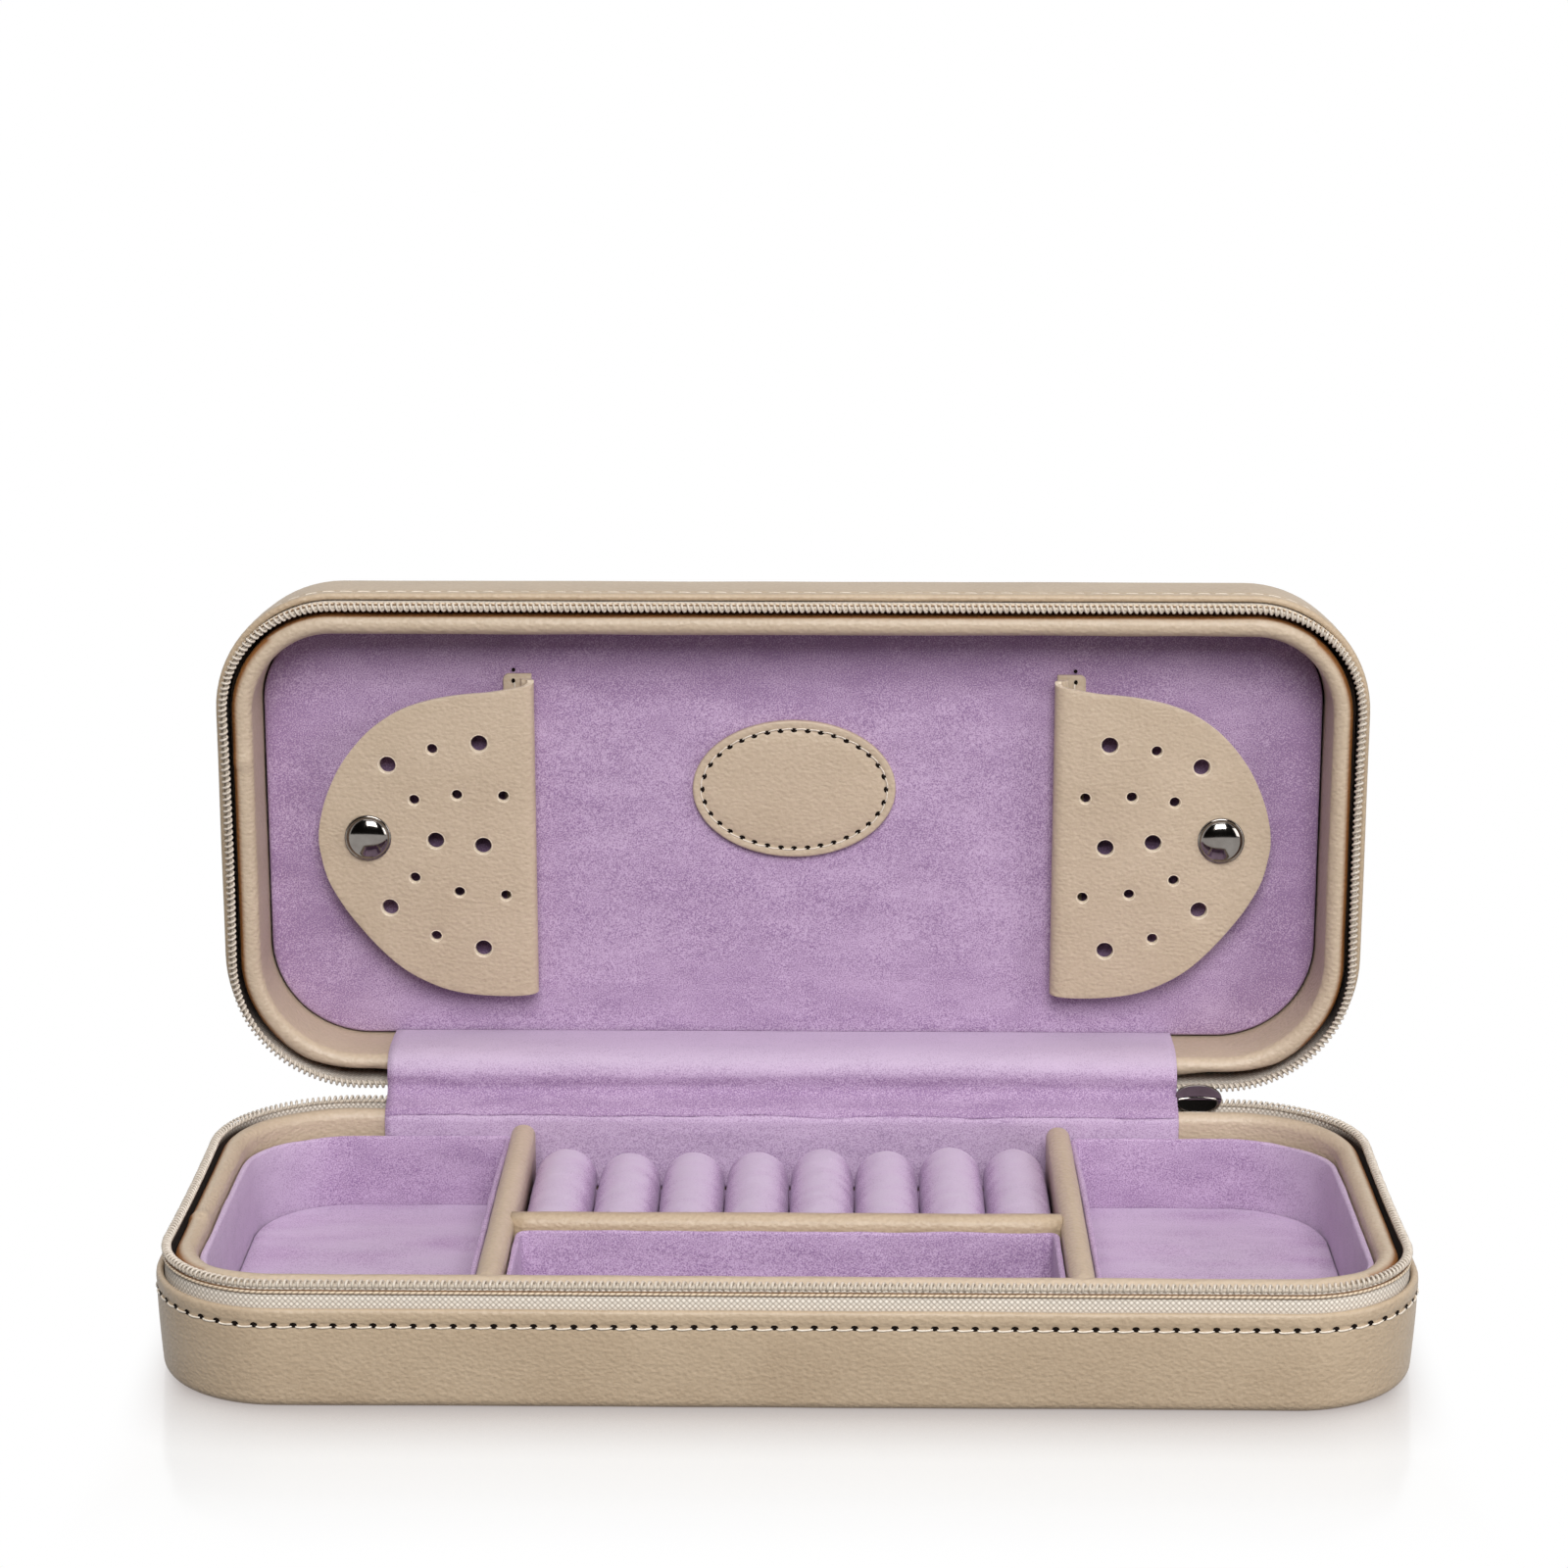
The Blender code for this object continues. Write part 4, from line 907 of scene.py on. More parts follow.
def stuffRolls():
    # all rolls are blown up together as cloth with a little to spare, so that it creases
    big = stuffing["scale"]
    holder = startRolls(big)
    start = [vert.co.copy() for vert in holder.data.vertices]
    # the cloth is not quite even, so each roll creases in its own way
    for vert in holder.data.vertices:
        x, y, z = vert.co * 9.0
        vert.co += stuffing["unevenness"] * Vector((noiseAt(x, y, z), noiseAt(x + 7, y, z),
                                                    0.3 * noiseAt(x, y + 9, z)))
    cloth = holder.modifiers.new("stuffing", "CLOTH")
    settings = cloth.settings
    settings.quality = 4
    settings.use_pressure = True
    settings.uniform_pressure_force = stuffing["pressure"]
    settings.shrink_min = settings.shrink_max = -stuffing["spareCloth"]
    settings.bending_stiffness = 0.05
    settings.effector_weights.gravity = 0.0
    cloth.collision_settings.use_collision = False
    cloth.point_cache.frame_start, cloth.point_cache.frame_end = 1, stuffing["frames"]
    for number in range(1, stuffing["frames"] + 1):
        bpy.context.scene.frame_set(number)
    blown = meshOf(holder)
    bpy.context.scene.frame_set(1)
    bpy.data.objects.remove(holder, do_unlink=True)
    most = stuffing["mostMove"] * big
    for vert, first in zip(blown.vertices, start):
        move = vert.co - first
        if move.length > most:
            move *= most / move.length
        vert.co = (first + move) / big
    return takeMesh(blown)


def addRoll(index, stuffed):
    # stuffed velvet finger roll
    radius, length = rolls["radius"], rolls["back"] - rolls["front"]
    if stuffed:
        bm = stuffed.copy()
        middle = index * stuffing["apart"]
        others = [vert for vert in bm.verts if abs(vert.co.x - middle) > stuffing["apart"] / 2]
        bmesh.ops.delete(bm, geom=others, context="VERTS")
        bmesh.ops.translate(bm, vec=(-middle, 0.0, 0.0), verts=bm.verts)
    else:
        bm = rollShape(radius, length)
    bm.normal_update()
    # painted light and shade: the nap is paler along the top and darker down the sides, with some random tone
    setLayer(bm, "napToneAndPaintedLight", lambda x, y, z: 0.62 - 1.3 * min(1.0, abs(x) / radius) ** 3
             + 0.25 * noiseAt(x / 5.0, index * 3.0, z / 3.0))
    for vert in bm.verts:
        # fine creases across the roll, over what the cloth does
        across = noiseAt(vert.co.x / 9.0 + index * 5.0, vert.co.y / 9.0, vert.co.z / 1.4)
        vert.co += vert.normal * 0.13 * across
        reach = math.hypot(vert.co.x, vert.co.y)
        if reach > radius + 0.08:
            vert.co.x *= (radius + 0.08) / reach
            vert.co.y *= (radius + 0.08) / reach
        vert.co.z = max(0.0, min(length, vert.co.z))
    bmesh.ops.rotate(bm, verts=bm.verts, matrix=Matrix.Rotation(math.radians(-90.0), 3, "X"))
    # the rolls are not all pressed equally deep into the bed
    x = (index + 0.5) * rolls["pitch"] - rolls["count"] * rolls["pitch"] / 2
    bmesh.ops.translate(bm, vec=(x, rolls["front"], rolls["centre"] - rolls["sink"][index]), verts=bm.verts)
    for vert in bm.verts:
        vert.co.z = max(vert.co.z, rolls["centre"] - radius)
    piece = finishPiece(f"ringRoll{index + 1}", bm, look["velvet"], "base", flatFrame,
                        f"ring_roll_{index + 1}")
    smooth = piece.modifiers.new("soft", "SUBSURF")
    smooth.levels = smooth.render_levels = 1


stuffedRolls = stuffRolls()
for index in range(rolls["count"]):
    addRoll(index, stuffedRolls)
print("rolls stuffed" if stuffedRolls else "rolls drawn without stuffing")

bed = {"width": 105.6, "depth": 52.0, "low": 2.8, "high": 7.5, "round": 1.2}


def addBed():
    middleY = (cell["back"] + rolls["front"]) / 2
    bm = drawBlock((-bed["width"] / 2, middleY - bed["depth"] / 2, bed["low"]),
                   (bed["width"] / 2, middleY + bed["depth"] / 2, bed["high"]))
    roundEdges(bm, bm.edges[:], bed["round"], 4)
    piece = finishPiece("ringBedVelvet", closeUp(bm), look["velvet"], "base", flatFrame, "ring_bed",
                        40.0)


addBed()
print("dividers, bed and rolls done")


# velvet strip over the hinge, and the leather spine outside

strip = {"left": -85.35, "right": 81.35, "thickness": 0.8, "columns": 96, "crease": 0.34, "creaseHigh": 22.95}
# side view of the strip, as in the solid: (y, z), from the lid's panel to behind the trays
stripSide = [(69.4, 33.65), (66.0, 33.8), (62.0, 33.95), (58.5, 34.0), (55.6, 33.7), (53.2, 32.9),
             (51.7, 31.6), (51.15, 30.2), (51.3, 28.9), (51.4, 27.6), (50.9, 26.3), (49.7, 25.3),
             (48.2, 24.7), (46.8, 24.2), (45.85, 23.5), (45.35, 22.8), (45.0, 22.1), (44.9, 21.0),
             (44.85, 19.0), (44.85, 14.0), (44.85, 11.0), (44.85, 7.7)]


def stripLine():
    # a point every 0.7 mm, and closer where the strip is creased
    line = [tuple(point) for point in smoothLine(stripSide, 4)]
    dense = []
    for a, b in zip(line, line[1:]):
        creased = 22.0 < b[1] < 24.2 and b[0] < 50
        count = max(1, round(math.dist(a, b) / (0.16 if creased else 0.7)))
        dense += [(a[0] + (b[0] - a[0]) * i / count, a[1] + (b[1] - a[1]) * i / count) for i in range(count)]
    return dense + [line[-1]]


def stripPaintedLight(x, y, z):
    # painted light on the velvet: paler over the top of the fold as a painted highlight, darker on its front
    # as painted shade under the fold, and a little paler below the crease, with a little random blur
    blurred = z + 0.5 * noiseAt(x / 6.0, z, 3.0)
    if blurred > 29.6:
        return 0.44 * min(1.0, (blurred - 29.6) / 3.0)
    return -0.24 * min(1.0, (29.6 - blurred) / 1.6) if z > 22.9 else 0.16


def addStrip():
    side = stripLine()
    width = strip["right"] - strip["left"]
    bm = drawBar([strip["left"] + width * i / strip["columns"] for i in range(strip["columns"] + 1)], side)
    bm.normal_update()
    turnOver = -1.0 if sum(face.normal.y for face in bm.faces) > 0 else 1.0
    paintedLightAndTone = bm.verts.layers.float.new("napToneAndPaintedLight")
    for vert in bm.verts:
        x, y, z = vert.co
        free = clamp((z - 24.5) / 3.0) * clamp((68.0 - y) / 5.0)
        fold = noiseAt(x / 30.0, z / 3.0, 0.0) * 0.40 + noiseAt(x / 9.0, z / 2.0, 5.0) * 0.12
        # a thin sharp crease runs along the strip where it turns down
        creaseAt = strip["creaseHigh"] + 0.5 * noiseAt(x / 16.0, 0.0, 9.0) + 0.3 * noiseAt(x / 4.0, 0.0, 2.0)
        crease = max(0.0, 1 - abs(z - creaseAt) / 0.26) if y < 50.0 else 0.0
        vert.co += vert.normal * turnOver * (free * fold - strip["crease"] * crease)
        vert[paintedLightAndTone] = stripPaintedLight(x, y, z)
    piece = finishPiece("hingeStripVelvet", bm, look["velvet"], None, flatFrame, "velvet_hinge")
    thicken(piece, strip["thickness"])
    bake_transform(piece, "lid", "base", start=(0.0, 0.0538, 0.0308), end=(0.0, 0.0477, 0.0247))


spine = {"left": -79.6, "length": 158.8, "y": 58.2, "z": 20.3, "bend": 5.3, "thickness": 1.2}


def addSpine():
    bend = spine["bend"]
    bm = drawBar([spine["left"] + spine["length"] * i / 50 for i in range(51)],
                 arc(spine["y"], spine["z"], bend, bend, 180.0, 90.0, 12))
    ripple(bm, 10.0, 0.08, 1.0)
    piece = finishPiece("spineLeather", bm, look["leather"], None, flatFrame, "spine")
    thicken(piece, spine["thickness"])
    softenEdges(piece, 0.3, 2, 60.0)
    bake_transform(piece, "base", "lid", start=(0.0, 0.0530, 0.0215), end=(0.0, 0.0572, 0.0256))


addStrip()
addSpine()
print("hinge strip and spine done")


# lid panel, padding and badge

panel = {"inset": 8.3, "low": 7.2, "front": 8.7, "edge": 0.7, "crown": 0.25, "puckers": 0.12, "waves": 0.10}
lidPad = {"width": 212.0, "height": 80.0, "low": 2.9, "high": 6.8, "corner": 14.0, "round": 1.5}


def addPanel():
    halfX, halfY = case["width"] / 2 - panel["inset"], case["depth"] / 2 - panel["inset"]
    hinge, far = case["hingeRadius"] - panel["inset"], case["farRadius"] - panel["inset"]
    edge, front = panel["edge"], panel["front"]

    def panelPaintedShade(x, y, z):
        # painted shade: the nap is darker along the sides and the top, where the frame shades it, and a
        # little more on the right
        toEdge = min(halfX - abs(x), halfY - y)
        paintedLightAndTone = -(0.40 + 0.08 * x / halfX) * max(0.0, 1 - toEdge / 24.0) ** 0.8
        # painted shade under the flaps
        inside = (1 - math.hypot((abs(x) - 58.0) / 42.0, y / 32.0)) / 0.22
        return paintedLightAndTone - 0.6 * clamp(min(inside, (abs(x) - 57.0) / 5.0))

    profile = [(0.4, panel["low"]), (0.0, panel["low"] + 0.3)]
    profile += arc(edge, front - edge, edge, edge, 180.0, 90.0, 4)
    bm = sweep(profile, roundPath(-halfX, halfX, -halfY, halfY, (hinge, far, far, hinge), True), 3.0, 1.5)
    cutAcross(bm, 0, evenCuts(-halfX, halfX, 2.5))
    cutAcross(bm, 1, evenCuts(-halfY, halfY, 2.5))
    setLayer(bm, "napToneAndPaintedLight", panelPaintedShade)
    for vert in bm.verts:
        x, y, z = vert.co
        if z > front - 0.05:
            reach = max(abs(x) / halfX, abs(y) / halfY)
            puckers = panel["puckers"] * noiseAt(x / 4.0, y / 16.0, 0.0)
            waves = panel["waves"] * noiseAt(x / 14, y / 9, 3.0)
            vert.co.z += panel["crown"] * (1 - reach ** 4) + puckers + waves
    piece = finishPiece("lidPanelVelvet", bm, look["velvet"], "lid", lidFrame, "lid_panel")


def addPadding():
    halfX, halfY = lidPad["width"] / 2, lidPad["height"] / 2
    bm = drawBlock((-halfX, -halfY, lidPad["low"]), (halfX, halfY, lidPad["high"]))
    roundEdges(bm, [edge for edge in bm.edges if edgeSpan(edge, 2) > 1.0], lidPad["corner"], 8)
    roundEdges(bm, [edge for edge in bm.edges if edgeSpan(edge, 2) < 0.01], lidPad["round"], 4)
    piece = finishPiece("lidPaddingWadding", closeUp(bm), look["wadding"], "lid", lidFrame, "lid_pad",
                        40.0)


badge = {"x": 0.4, "y": 9.7, "halfWidth": 21.5, "halfHeight": 14.9, "low": 9.0, "high": 10.4, "edge": 0.45,
         "seam": 2.0, "seamDepth": 0.22, "steps": 96}
badgeSeam = {"thread": 0.28, "hole": 1.35, "count": 36, "finest": 720}


def badgeProfile():
    low, high, edge, seam, depth = (badge[name] for name in ("low", "high", "edge", "seam", "seamDepth"))
    points = [(1.2, low), (0.15, low), (0.0, low + 0.15)]
    points += arc(edge, high - edge, edge, edge, 180.0, 90.0, 4)
    points += [(seam - 0.7, high + 0.02), (seam - 0.3, high - depth * 0.6), (seam, high - depth),
               (seam + 0.4, high - depth * 0.5), (seam + 1.0, high + 0.04), (seam + 2.5, high + 0.12),
               (seam + 5.0, high + 0.18), (seam + 8.0, high + 0.22)]
    return points


def ovalSpot(angle, inset, height):
    return (badge["x"] + (badge["halfWidth"] - inset) * math.cos(angle),
            badge["y"] + (badge["halfHeight"] - inset) * math.sin(angle), height)


def addBadge():
    steps, finest = badge["steps"], badgeSeam["finest"]
    bm = drawBar([2 * math.pi * i / steps for i in range(steps + 1)], badgeProfile())
    for vert in bm.verts:
        vert.co = ovalSpot(*vert.co)
    finishPiece("badgeLeather", closeUp(bm), look["leather"], "lid", lidFrame, "badge")
    # the way round the oval at each small step, so that the stitches come at equal distances
    turn = 2 * math.pi / finest
    way = [0.0]
    for i in range(finest):
        a, b = (ovalSpot(turn * k, badge["seam"], 0.0) for k in (i, i + 1))
        way.append(way[-1] + math.dist(a, b))

    def badgeSpot(i, forward, out, up):
        wanted = (i + forward) / badgeSeam["count"] % 1.0 * way[-1]
        k = next(n for n in range(finest) if way[n + 1] >= wanted)
        share = (wanted - way[k]) / (way[k + 1] - way[k])
        height = badge["high"] - badge["seamDepth"] + out
        return ovalSpot(turn * (k + share), badge["seam"] + up * 0.8, height)

    stitchRow("badgeSeam", badgeSpot, badgeSeam, "lid", lidFrame)


addPanel()
addPadding()
addBadge()
print("panel and badge done")


# earring flaps with their snaps

flap = {"foldX": 56.8, "pivotY": 66.1, "centreZ": 78.5, "middle": 1.5, "thickness": 1.4, "turn": 205.0,
        "bulge": 0.7, "funnel": 0.16, "reach": 46.4, "height": 34.5, "bigHole": 3.5, "smallHole": 2.2,
        "rivetHole": 3.2, "snapReach": 33.25, "shift": 0.4, "grid": 1.9, "foldGrid": 0.45}
# outline beyond the fold: (distance from the fold's edge, height above and below the middle)
flapTop = [(0.0, 33.2), (4.0, 32.3), (9.0, 31.4), (14.0, 31.0), (19.0, 30.3), (24.0, 29.1), (29.0, 27.1),
           (34.0, 23.7), (38.0, 19.6), (41.5, 14.6), (44.2, 8.6), (45.6, 3.4)]
flapBottom = [(46.0, -0.4), (45.7, -3.6), (44.4, -9.0), (42.0, -13.7), (39.0, -18.1), (34.0, -24.0),
              (29.0, -28.6), (24.0, -31.6), (19.0, -33.6), (14.0, -34.6), (9.0, -35.0), (4.0, -35.0),
              (0.0, -34.5)]
# the holes, as shares of the flap's reach and of its height
bigHoles = [(0.250, 0.595), (0.668, 0.458), (0.455, -0.016), (0.240, -0.050), (0.672, -0.446),
            (0.248, -0.707)]
smallHoles = [(0.463, 0.560), (0.550, 0.240), (0.355, 0.272), (0.145, 0.262), (0.553, -0.252),
              (0.352, -0.343), (0.141, -0.368), (0.463, -0.626)]
foldAt = flap["middle"] + flap["thickness"] / 2
hemLength = math.radians(flap["turn"]) * flap["middle"]


def flapHoles():
    # (reach from the flat sheet's start, height, diameter) of each punched hole, then the snap's
    sizes = ((bigHoles, flap["bigHole"]), (smallHoles, flap["smallHole"]))
    holes = [(flap["reach"] * a - foldAt, flap["height"] * b, size)
             for spots, size in sizes for a, b in spots]
    return holes + [(flap["snapReach"], 0.0, flap["rivetHole"] - 2 * flap["funnel"])]


def flapSheet():
    # the flat leather with its holes, filled and cut into a grid that can bend
    outline = [(-hemLength, 33.6), (-hemLength * 0.5, 33.6)]
    outline += [(r - foldAt, h) for r, h in smoothLine(flapTop + flapBottom, 4)]
    outline += [(-hemLength * 0.5, -34.3), (-hemLength, -34.3)]
    loops = [outline]
    for u, h, size in flapHoles():
        radius = size / 2 + flap["funnel"]
        loops.append(arc(u, h, radius, radius, 0.0, 345.0, 23))
    loops = [[(u, h, 0.0) for u, h in loop] for loop in loops]
    bm = drawCurve(loops, True, dimensions="2D", fill_mode="BOTH")
    bmesh.ops.remove_doubles(bm, verts=bm.verts, dist=0.002)
    grid, foldGrid = flap["grid"], flap["foldGrid"]
    along = [-hemLength + foldGrid * i for i in range(1, int(hemLength / foldGrid))]
    along += [grid * i for i in range(24)]
    upDown = [-34.2 + grid * i for i in range(36)]
    cutAcross(bm, 0, along)
    cutAcross(bm, 1, upDown)
    # only the grid's own edges stay, so that the leather bends evenly
    cuts = [(at, 0) for at in along] + [(at, 1) for at in upDown]
    spare = [edge for edge in bm.edges if not edge.is_boundary and not any(
        all(abs(vert.co[axis] - at) < 1e-4 for vert in edge.verts) for at, axis in cuts)]
    bmesh.ops.dissolve_edges(bm, edges=spare, use_verts=False)
    inLine = [vert for vert in bm.verts if len(vert.link_edges) == 2 and not vert.is_boundary]
    bmesh.ops.dissolve_verts(bm, verts=inLine)
    bmesh.ops.dissolve_degenerate(bm, dist=0.01, edges=bm.edges)
    bmesh.ops.triangulate(bm, faces=bm.faces, quad_method="BEAUTY", ngon_method="BEAUTY")
    bmesh.ops.dissolve_degenerate(bm, dist=0.01, edges=bm.edges)
    return bm


def bendFlap(u, h, side):
    # where a point of the flat sheet comes to lie
    pivotX, middle = flap["shift"] + side * flap["foldX"], flap["middle"]
    if u < 0:
        angle = -u / middle
        return Vector((pivotX - side * middle * math.sin(angle), flap["pivotY"] - middle * math.cos(angle),
                       flap["centreZ"] + h))
    free = math.sin(math.pi * min(1.0, u / flap["snapReach"])) * max(0.0, 1 - (h / 42.0) ** 2)
    curl = flap["bulge"] * free + 0.25 * noiseAt(u / 18.0, h / 18.0, side * 4.0)
    tip = max(0.0, u - flap["snapReach"]) * 0.05
    return Vector((pivotX + side * u, flap["pivotY"] - middle - curl * min(1.0, u / 6.0) + tip,
                   flap["centreZ"] + h))


def addFlapLeather(side, word):
    bm = flapSheet()
    for vert in bm.verts:
        vert.co = bendFlap(vert.co.x, vert.co.y, side)
    bmesh.ops.recalc_face_normals(bm, faces=bm.faces)
    node = "flap_" + word
    piece = finishPiece("flap" + word.capitalize() + "Leather", bm, look["leather"], node, flatFrame, node)
    piece.data.materials.append(look["cutEdge"])
    thicken(piece, flap["thickness"]).material_offset_rim = 1
    softenEdges(piece, 0.28, 2, 50.0)


def addHoleEdges(side, word):
    # each hole is punched from the front, which leaves a pale sunk edge
    edges, front, lip = bmesh.new(), flap["thickness"] / 2, flap["funnel"]
    for u, h, size in flapHoles()[:-1]:
        r = size / 2
        ring = turnProfile([(r + lip + 0.10, front - 0.3), (r + lip + 0.12, front + 0.01),
                            (r + lip - 0.02, front + 0.03), (r + 0.02, front - 0.22),
                            (r - 0.06, front - 0.55), (r - 0.04, -front), (r + lip + 0.10, -front),
                            (r + lip + 0.10, front - 0.3)], 24)
        acrossLeather = bendFlap(u + 0.5, h, side) - bendFlap(u - 0.5, h, side)
        upLeather = bendFlap(u, h + 0.5, side) - bendFlap(u, h - 0.5, side)
        out = acrossLeather.cross(upLeather).normalized()
        out = out if out.y < 0 else -out
        turned = Vector((0.0, 0.0, 1.0)).rotation_difference(out).to_matrix().to_4x4()
        bmesh.ops.transform(ring, matrix=Matrix.Translation(bendFlap(u, h, side)) @ turned, verts=ring.verts)
        joinTo(edges, ring)
    finishPiece("flapHoleEdges" + word.capitalize(), edges, look["cutEdge"], "flap_" + word, flatFrame, (),
                60.0)


def capProfile():
    # a low dome with a narrow flange, on its hollow rivet
    return [(0.0, 2.35)] + arc(0.0, 0.72, 4.55, 1.63, 81.0, 9.0, 8) + [
        (4.60, 0.64), (4.72, 0.62), (4.88, 0.52), (4.95, 0.34), (4.92, 0.14), (4.7, 0.03), (1.4, 0.03),
        (1.4, -1.3), (0.0, -1.3)]


def socketProfile(depth):
    return [(0.0, 0.0), (4.3, 0.0), (4.62, -0.2), (4.7, -0.5), (4.6, -0.8), (3.9, -1.0), (3.7, -1.3),
            (3.7, -depth + 0.3), (3.5, -depth), (2.8, -depth), (2.6, -depth + 0.3), (2.6, -0.6), (0.0, -0.6)]


def studProfile(tall):
    return [(0.0, tall), (1.6, tall), (2.1, tall - 0.2), (2.3, tall - 0.5), (2.2, tall - 0.85),
            (1.9, tall - 1.0), (1.9, 0.8), (2.4, 0.75), (4.0, 0.7), (4.4, 0.5), (4.5, 0.25), (4.4, 0.0),
            (0.0, 0.0)]


def addSnap(side, word):
    # cap and socket ride on the flap, the stud stays on the panel
    snapX = flap["shift"] + side * (flap["foldX"] + flap["snapReach"])
    socketLow, socketHigh = (corner.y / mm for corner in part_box("snap_socket_" + word))
    studLow, studHigh = (corner.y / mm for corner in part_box("snap_stud_" + word))
    for kind, body, y, profile, steps in (
            ("Cap", "flap_" + word, 63.8, capProfile(), 48),
            ("Socket", "flap_" + word, socketLow, socketProfile(socketHigh - socketLow), 40),
            ("Stud", "lid", studHigh, studProfile(studHigh - studLow), 40)):
        place = Matrix.Translation(Vector((snapX, y, flap["centreZ"])) * mm)
        finishPiece("snap" + kind + word.capitalize(), turnProfile(profile, steps), look["nickel"], body,
                    place @ Matrix.Rotation(math.radians(90.0), 4, "X"), "snap_" + kind.lower() + "_" + word,
                    50.0)


flapSeam = {"corner": 1.3, "round": 0.22, "wider": 0.8, "pitch": 3.6, "thread": 0.36, "hole": 1.1,
            "firstHole": 0.42, "rowOff": 1.2}


def addFlapSeam(side, word):
    # the strip behind the fold, stitched to the panel
    low, high = (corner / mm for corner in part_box("flap_seam_" + word))
    middleX = (low.x + high.x) / 2
    bm = drawBlock(low, high)
    outer = [edge for edge in bm.edges if all((vert.co.x - middleX) * side > 0 for vert in edge.verts)
             and edgeSpan(edge, 1) > 0.5]
    roundEdges(bm, outer, flapSeam["corner"], 6)
    sharp = [edge for edge in bm.edges if edge.calc_face_angle(0.0) > 1.0]
    roundEdges(bm, sharp, flapSeam["round"], 3)
    for vert in bm.verts:
        if (vert.co.x - middleX) * side > 0:
            vert.co.x += side * flapSeam["wider"]
    finishPiece("flapSeam" + word.capitalize(), closeUp(bm), look["leather"], "lid", flatFrame,
                "flap_seam_" + word, 40.0)
    rowX, pitch = middleX + side * flapSeam["rowOff"], flapSeam["pitch"]

    def seamSpot(i, forward, out, up):
        return rowX + up * 0.6 * side, low.y - out, high.z - 1.5 - (i + forward) * pitch

    stitchRow("flapStitch" + word.capitalize(), seamSpot,
              {**flapSeam, "count": int((high.z - low.z - 1.2) / pitch)}, "lid", flatFrame)
    # the row's first hole is in the velvet, just above the strip: a flat dark disc, painted shade
    first = bmesh.new()
    bmesh.ops.create_circle(first, cap_ends=True, segments=12, radius=flapSeam["firstHole"],
                            matrix=Matrix.Translation((rowX, low.y + 0.5, high.z + 0.75))
                            @ Matrix.Rotation(math.radians(90.0), 4, "X"))
    finishPiece("flapFirstHoleShade" + word.capitalize(), first, look["hole"], "lid", flatFrame, ())


for side, word in ((-1, "left"), (1, "right")):
    addFlapLeather(side, word)
    addHoleEdges(side, word)
    addSnap(side, word)
    addFlapSeam(side, word)
print("flaps and snaps done")


# zip slider and its pull tab

slider = {"x": 85.95, "length": 9.8, "low": 22.5, "high": 28.85, "y": 50.0, "thick": 0.5, "dome": 0.95,
          "outerY": 52.9, "outerZ": 23.1, "outerThick": 0.8, "outerDome": 0.25, "bail": 0.8, "bailWide": 1.9}
# side view of the bail, an arch of wire on the outer plate
bailSide = [(53.6, 24.4), (54.6, 24.4), (55.5, 24.1), (56.05, 23.5), (56.1, 22.9), (55.8, 22.1),
            (55.0, 21.65), (53.6, 21.6)]


def shieldPlate(cx, cz, a, b, thick, dome, facing, y):
    # an upright plate with a round nose. A fine ridge parts its flat upper half from the swelling lower half
    profile = [(0.0, 0.0), (0.0, thick * 0.5), (0.05, thick * 0.8), (0.16, thick)]
    profile += [(b * (0.06 + 0.90 * i / 22), thick) for i in range(23)]
    bm = drawBar([2 * math.pi * i / 120 for i in range(121)], profile)
    for vert in bm.verts:
        angle, inset, height = vert.co
        c, s = math.cos(angle), math.sin(angle)
        x = (a - 0.62 * inset) * (c if c > 0 else -abs(c) ** 0.5)
        z = (b - inset) * s * (1 - 0.16 * max(0.0, -c)) / (1 if c > 0 else (1 - 0.35 * abs(c) ** 6))
        z = max(-b + inset, min(b - inset, z))
        if height > thick * 0.9:
            nose = (1 - max(0.0, x / a) ** 4) * min(1.0, inset / 0.5)
            ridgeAt = 0.35 - 0.5 * (x / a) ** 2
            ridge = 0.12 * math.exp(-((z - ridgeAt) / 0.14) ** 2)
            swell = dome * clamp((ridgeAt - z) / b)
            height += (ridge + swell) * nose
        vert.co = (cx + x, y + facing * height, cz + z)
    return closeUp(bm)


def addSlider():
    x, low, high = slider["x"], slider["low"], slider["high"]
    bm = shieldPlate(x, (low + high) / 2, slider["length"] / 2, (high - low) / 2, slider["thick"],
                     slider["dome"], -1.0, slider["y"] + slider["thick"])
    joinTo(bm, shieldPlate(x, slider["outerZ"], 4.7, 2.45, slider["outerThick"], slider["outerDome"], 1.0,
                           slider["outerY"]))
    # a thin web joins the two plates
    joinTo(bm, drawBlock((x - 2.9, 50.3, 25.43), (x + 2.9, 53.2, 25.67)))
    wire = drawThreads([[(x, y, z) for y, z in bailSide]], slider["bail"], 3)
    bmesh.ops.scale(wire, vec=(slider["bailWide"], 1.0, 1.0), space=Matrix.Translation((-x, 0.0, 0.0)),
                    verts=wire.verts)
    joinTo(bm, wire)
    finishPiece("zipSliderNickel", bm, look["nickel"], "slider", flatFrame, "zip_slider", 40.0)


puller = {"corner": 1.8, "round": 0.18, "window": (3.0, 4.0, 4.5), "windowCorner": 0.6, "windowTop": 1.0}


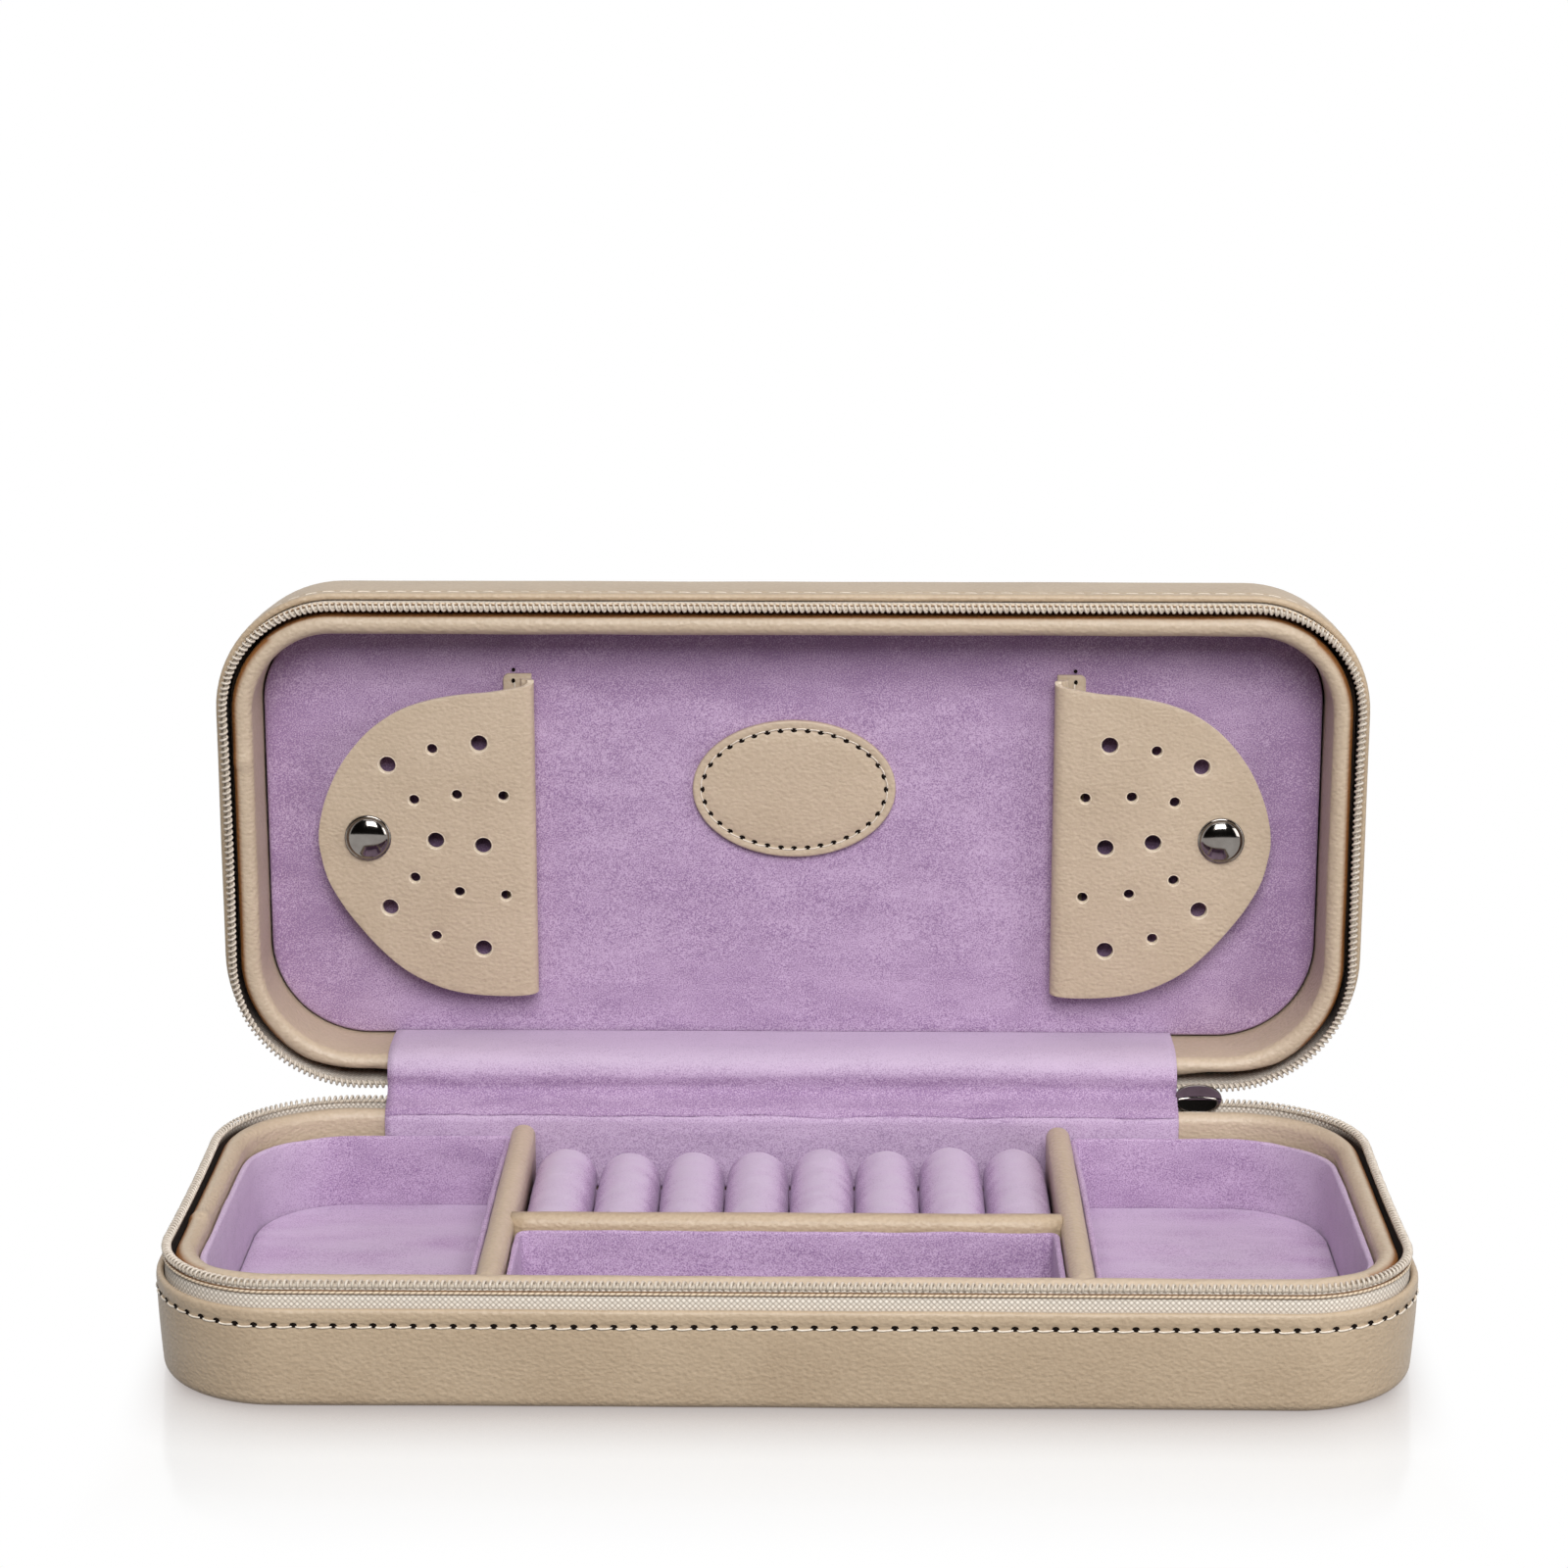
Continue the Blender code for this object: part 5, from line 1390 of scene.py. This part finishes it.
def addPuller():
    low, high = (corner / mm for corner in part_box("zip_puller"))
    middle = (low + high) / 2
    bm = drawBlock(low, high)
    lower = [edge for edge in bm.edges if edgeSpan(edge, 1) > 0.5 and edge.verts[0].co.z < middle.z]
    roundEdges(bm, lower, puller["corner"], 6)
    # the window for the bail
    half = Vector(puller["window"]) / 2
    at = Vector((middle.x, middle.y, high.z - puller["windowTop"] - half.z))
    window = drawBlock(at - half, at + half)
    roundEdges(window, [edge for edge in window.edges if edgeSpan(edge, 1) > 1], puller["windowCorner"], 4)
    cutter = finishPiece("pullerWindow", closeUp(window), look["nickel"], None)
    piece = finishPiece("zipPullerNickel", closeUp(bm), look["nickel"], "puller", flatFrame, "zip_puller",
                        40.0)
    cut = piece.modifiers.new("window", "BOOLEAN")
    cut.operation = "DIFFERENCE"
    cut.object = cutter
    cut.solver = "EXACT"
    softenEdges(piece, puller["round"], 3, 40.0)
    solid = meshOf(piece)
    piece.modifiers.clear()
    piece.data = solid
    bpy.data.objects.remove(cutter, do_unlink=True)


addSlider()
addPuller()
for node in ("base_board", "lid_board"):
    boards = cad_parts[node].data.materials
    if len(boards):
        boards[0] = look["card"]
    else:
        boards.append(look["card"])
print("slider, tab and boards done")


# floor, lights and camera

studio = {"paper": "#6a6866", "paperGlow": 0.72, "paperShade": "#c6bebb", "paperRoughness": 0.14,
          "paperPolish": 0.5, "nearSides": 0.006, "nearFront": 0.062, "keyPower": 23.0, "topPower": 2.8,
          "sidePower": 3.2, "ambient": 0.10, "lens": 84.04, "cameraAt": (0.00879, -0.68239, 0.28101),
          "cameraTilt": 75.678, "cameraTurn": 0.804}


def seenRays(tree):
    # 1 for camera, glossy and transmission rays, which see the white background
    rays = addNode(tree, "LightPath")
    seen = addNode(tree, "Math", {0: rays.outputs["Is Camera Ray"], 1: rays.outputs["Is Glossy Ray"]},
                   operation="MAXIMUM")
    return addNode(tree, "Math", {0: seen, 1: rays.outputs["Is Transmission Ray"]}, operation="MAXIMUM")


def makeBackdrop():
    # Satin paper sweep: near the case it keeps the shadow and a soft reflection, further off it is pure white
    material, tree, shader = startMaterial("backdropPaperSatin", {
        "Base Color": linear(studio["paper"]), "Roughness": studio["paperRoughness"],
        "Specular IOR Level": studio["paperPolish"]})
    seen = seenRays(tree)
    glow = addNode(tree, "Math", {0: seen, 1: studio["paperGlow"]}, operation="MULTIPLY")
    tree.links.new(glow.outputs[0], shader.inputs["Emission Strength"])
    # soft shade where the case stands close
    near = addNode(tree, "AmbientOcclusion", {"Distance": 0.022}, samples=8)
    lit = addNode(tree, "MapRange", {"Value": near.outputs["AO"], "From Min": 0.5, "From Max": 0.98})
    tint = addNode(tree, "Mix", {0: lit, 6: linear(studio["paperShade"]), 7: linear("#ffffff")},
                   data_type="RGBA")
    tree.links.new(tint.outputs[2], shader.inputs["Emission Color"])
    # distance outside the case's footprint, to the sides and behind, and in front
    place = addNode(tree, "TexCoord").outputs["Object"]
    cut = addNode(tree, "SeparateXYZ", {0: place})
    across = addNode(tree, "Math", {0: cut.outputs["X"]}, operation="ABSOLUTE").outputs[0]
    ranges = ((across, 0.112, 0.120 + studio["nearSides"]), (cut.outputs["Y"], 0.06, 0.09),
              (cut.outputs["Y"], -0.068, -0.0535 - studio["nearFront"]))
    beside, behind, before = (addNode(tree, "MapRange", {"Value": value, "From Min": first, "From Max": last},
                                      interpolation_type="SMOOTHSTEP") for value, first, last in ranges)
    away = addNode(tree, "Math", {0: beside, 1: behind}, operation="MAXIMUM")
    away = addNode(tree, "Math", {0: away, 1: before}, operation="MAXIMUM")
    share = addNode(tree, "Math", {0: away, 1: seen}, operation="MULTIPLY")
    white = addNode(tree, "Emission", {"Color": (1.0, 1.0, 1.0, 1.0), "Strength": 1.0})
    mix = addNode(tree, "MixShader", {0: share, 1: shader, 2: white})
    tree.links.new(mix.outputs[0], tree.nodes["Material Output"].inputs["Surface"])
    return material


def addStage():
    # the floor, and the dark of the room in front, which only polished metal shows
    bm = bmesh.new()
    bmesh.ops.create_grid(bm, x_segments=1, y_segments=1, size=6000.0)
    bmesh.ops.translate(bm, vec=(0.0, 0.0, -0.05), verts=bm.verts)
    finishPiece("studioFloor", bm, makeBackdrop(), None)
    bm = bmesh.new()
    bmesh.ops.create_grid(bm, x_segments=1, y_segments=1, size=3000.0)
    bmesh.ops.rotate(bm, verts=bm.verts, matrix=Matrix.Rotation(math.radians(-90.0), 3, "X"))
    bmesh.ops.translate(bm, vec=(0.0, -1600.0, 2900.0), verts=bm.verts)
    black = makeFleckedPlain("cardboardBlackMatt", "#15120f", "#1c1814", 40.0, {"Roughness": 1.0})
    card = finishPiece("studioDarkCard", bm, black, None)
    card.visible_camera = card.visible_diffuse = False
    card.visible_shadow = card.visible_transmission = False


def addLamp(name, power, size, location, target):
    lamp = bpy.data.lights.new(name, "AREA")
    lamp.shape = "RECTANGLE"
    lamp.energy = power
    lamp.size, lamp.size_y = size
    holder = linkObject(name, lamp)
    holder.location = location
    holder.rotation_euler = (Vector(target) - Vector(location)).to_track_quat("-Z", "Y").to_euler()


def addWorld():
    world = bpy.data.worlds.new("studioWorld")
    bpy.context.scene.world = world
    world.use_nodes = True
    tree = world.node_tree
    around = tree.nodes["Background"]
    around.inputs["Color"].default_value = (1.0, 1.0, 1.0, 1.0)
    strength = addNode(tree, "MapRange", {"Value": seenRays(tree), "To Min": studio["ambient"]})
    tree.links.new(strength.outputs[0], around.inputs["Strength"])


def addCamera():
    camera = bpy.data.cameras.new("camera")
    camera.lens = studio["lens"]
    camera.sensor_width = 36.0
    camera.clip_start = 0.01
    holder = linkObject("camera", camera)
    holder.location = studio["cameraAt"]
    holder.rotation_euler = (math.radians(studio["cameraTilt"]), 0.0, math.radians(studio["cameraTurn"]))
    bpy.context.scene.camera = holder


addStage()
addLamp("keyFront", studio["keyPower"], (0.8, 0.8), (0.10, -1.10, 1.00), (0.0, 0.06, 0.12))
addLamp("topSoft", studio["topPower"], (0.9, 0.7), (0.0, -0.05, 1.05), (0.0, 0.0, 0.05))
addLamp("rightSoft", studio["sidePower"], (0.4, 0.5), (0.90, -0.45, 0.35), (0.0, 0.0, 0.05))
addWorld()
addCamera()
bpy.context.scene.view_settings.view_transform = "Standard"

print("scene ready")
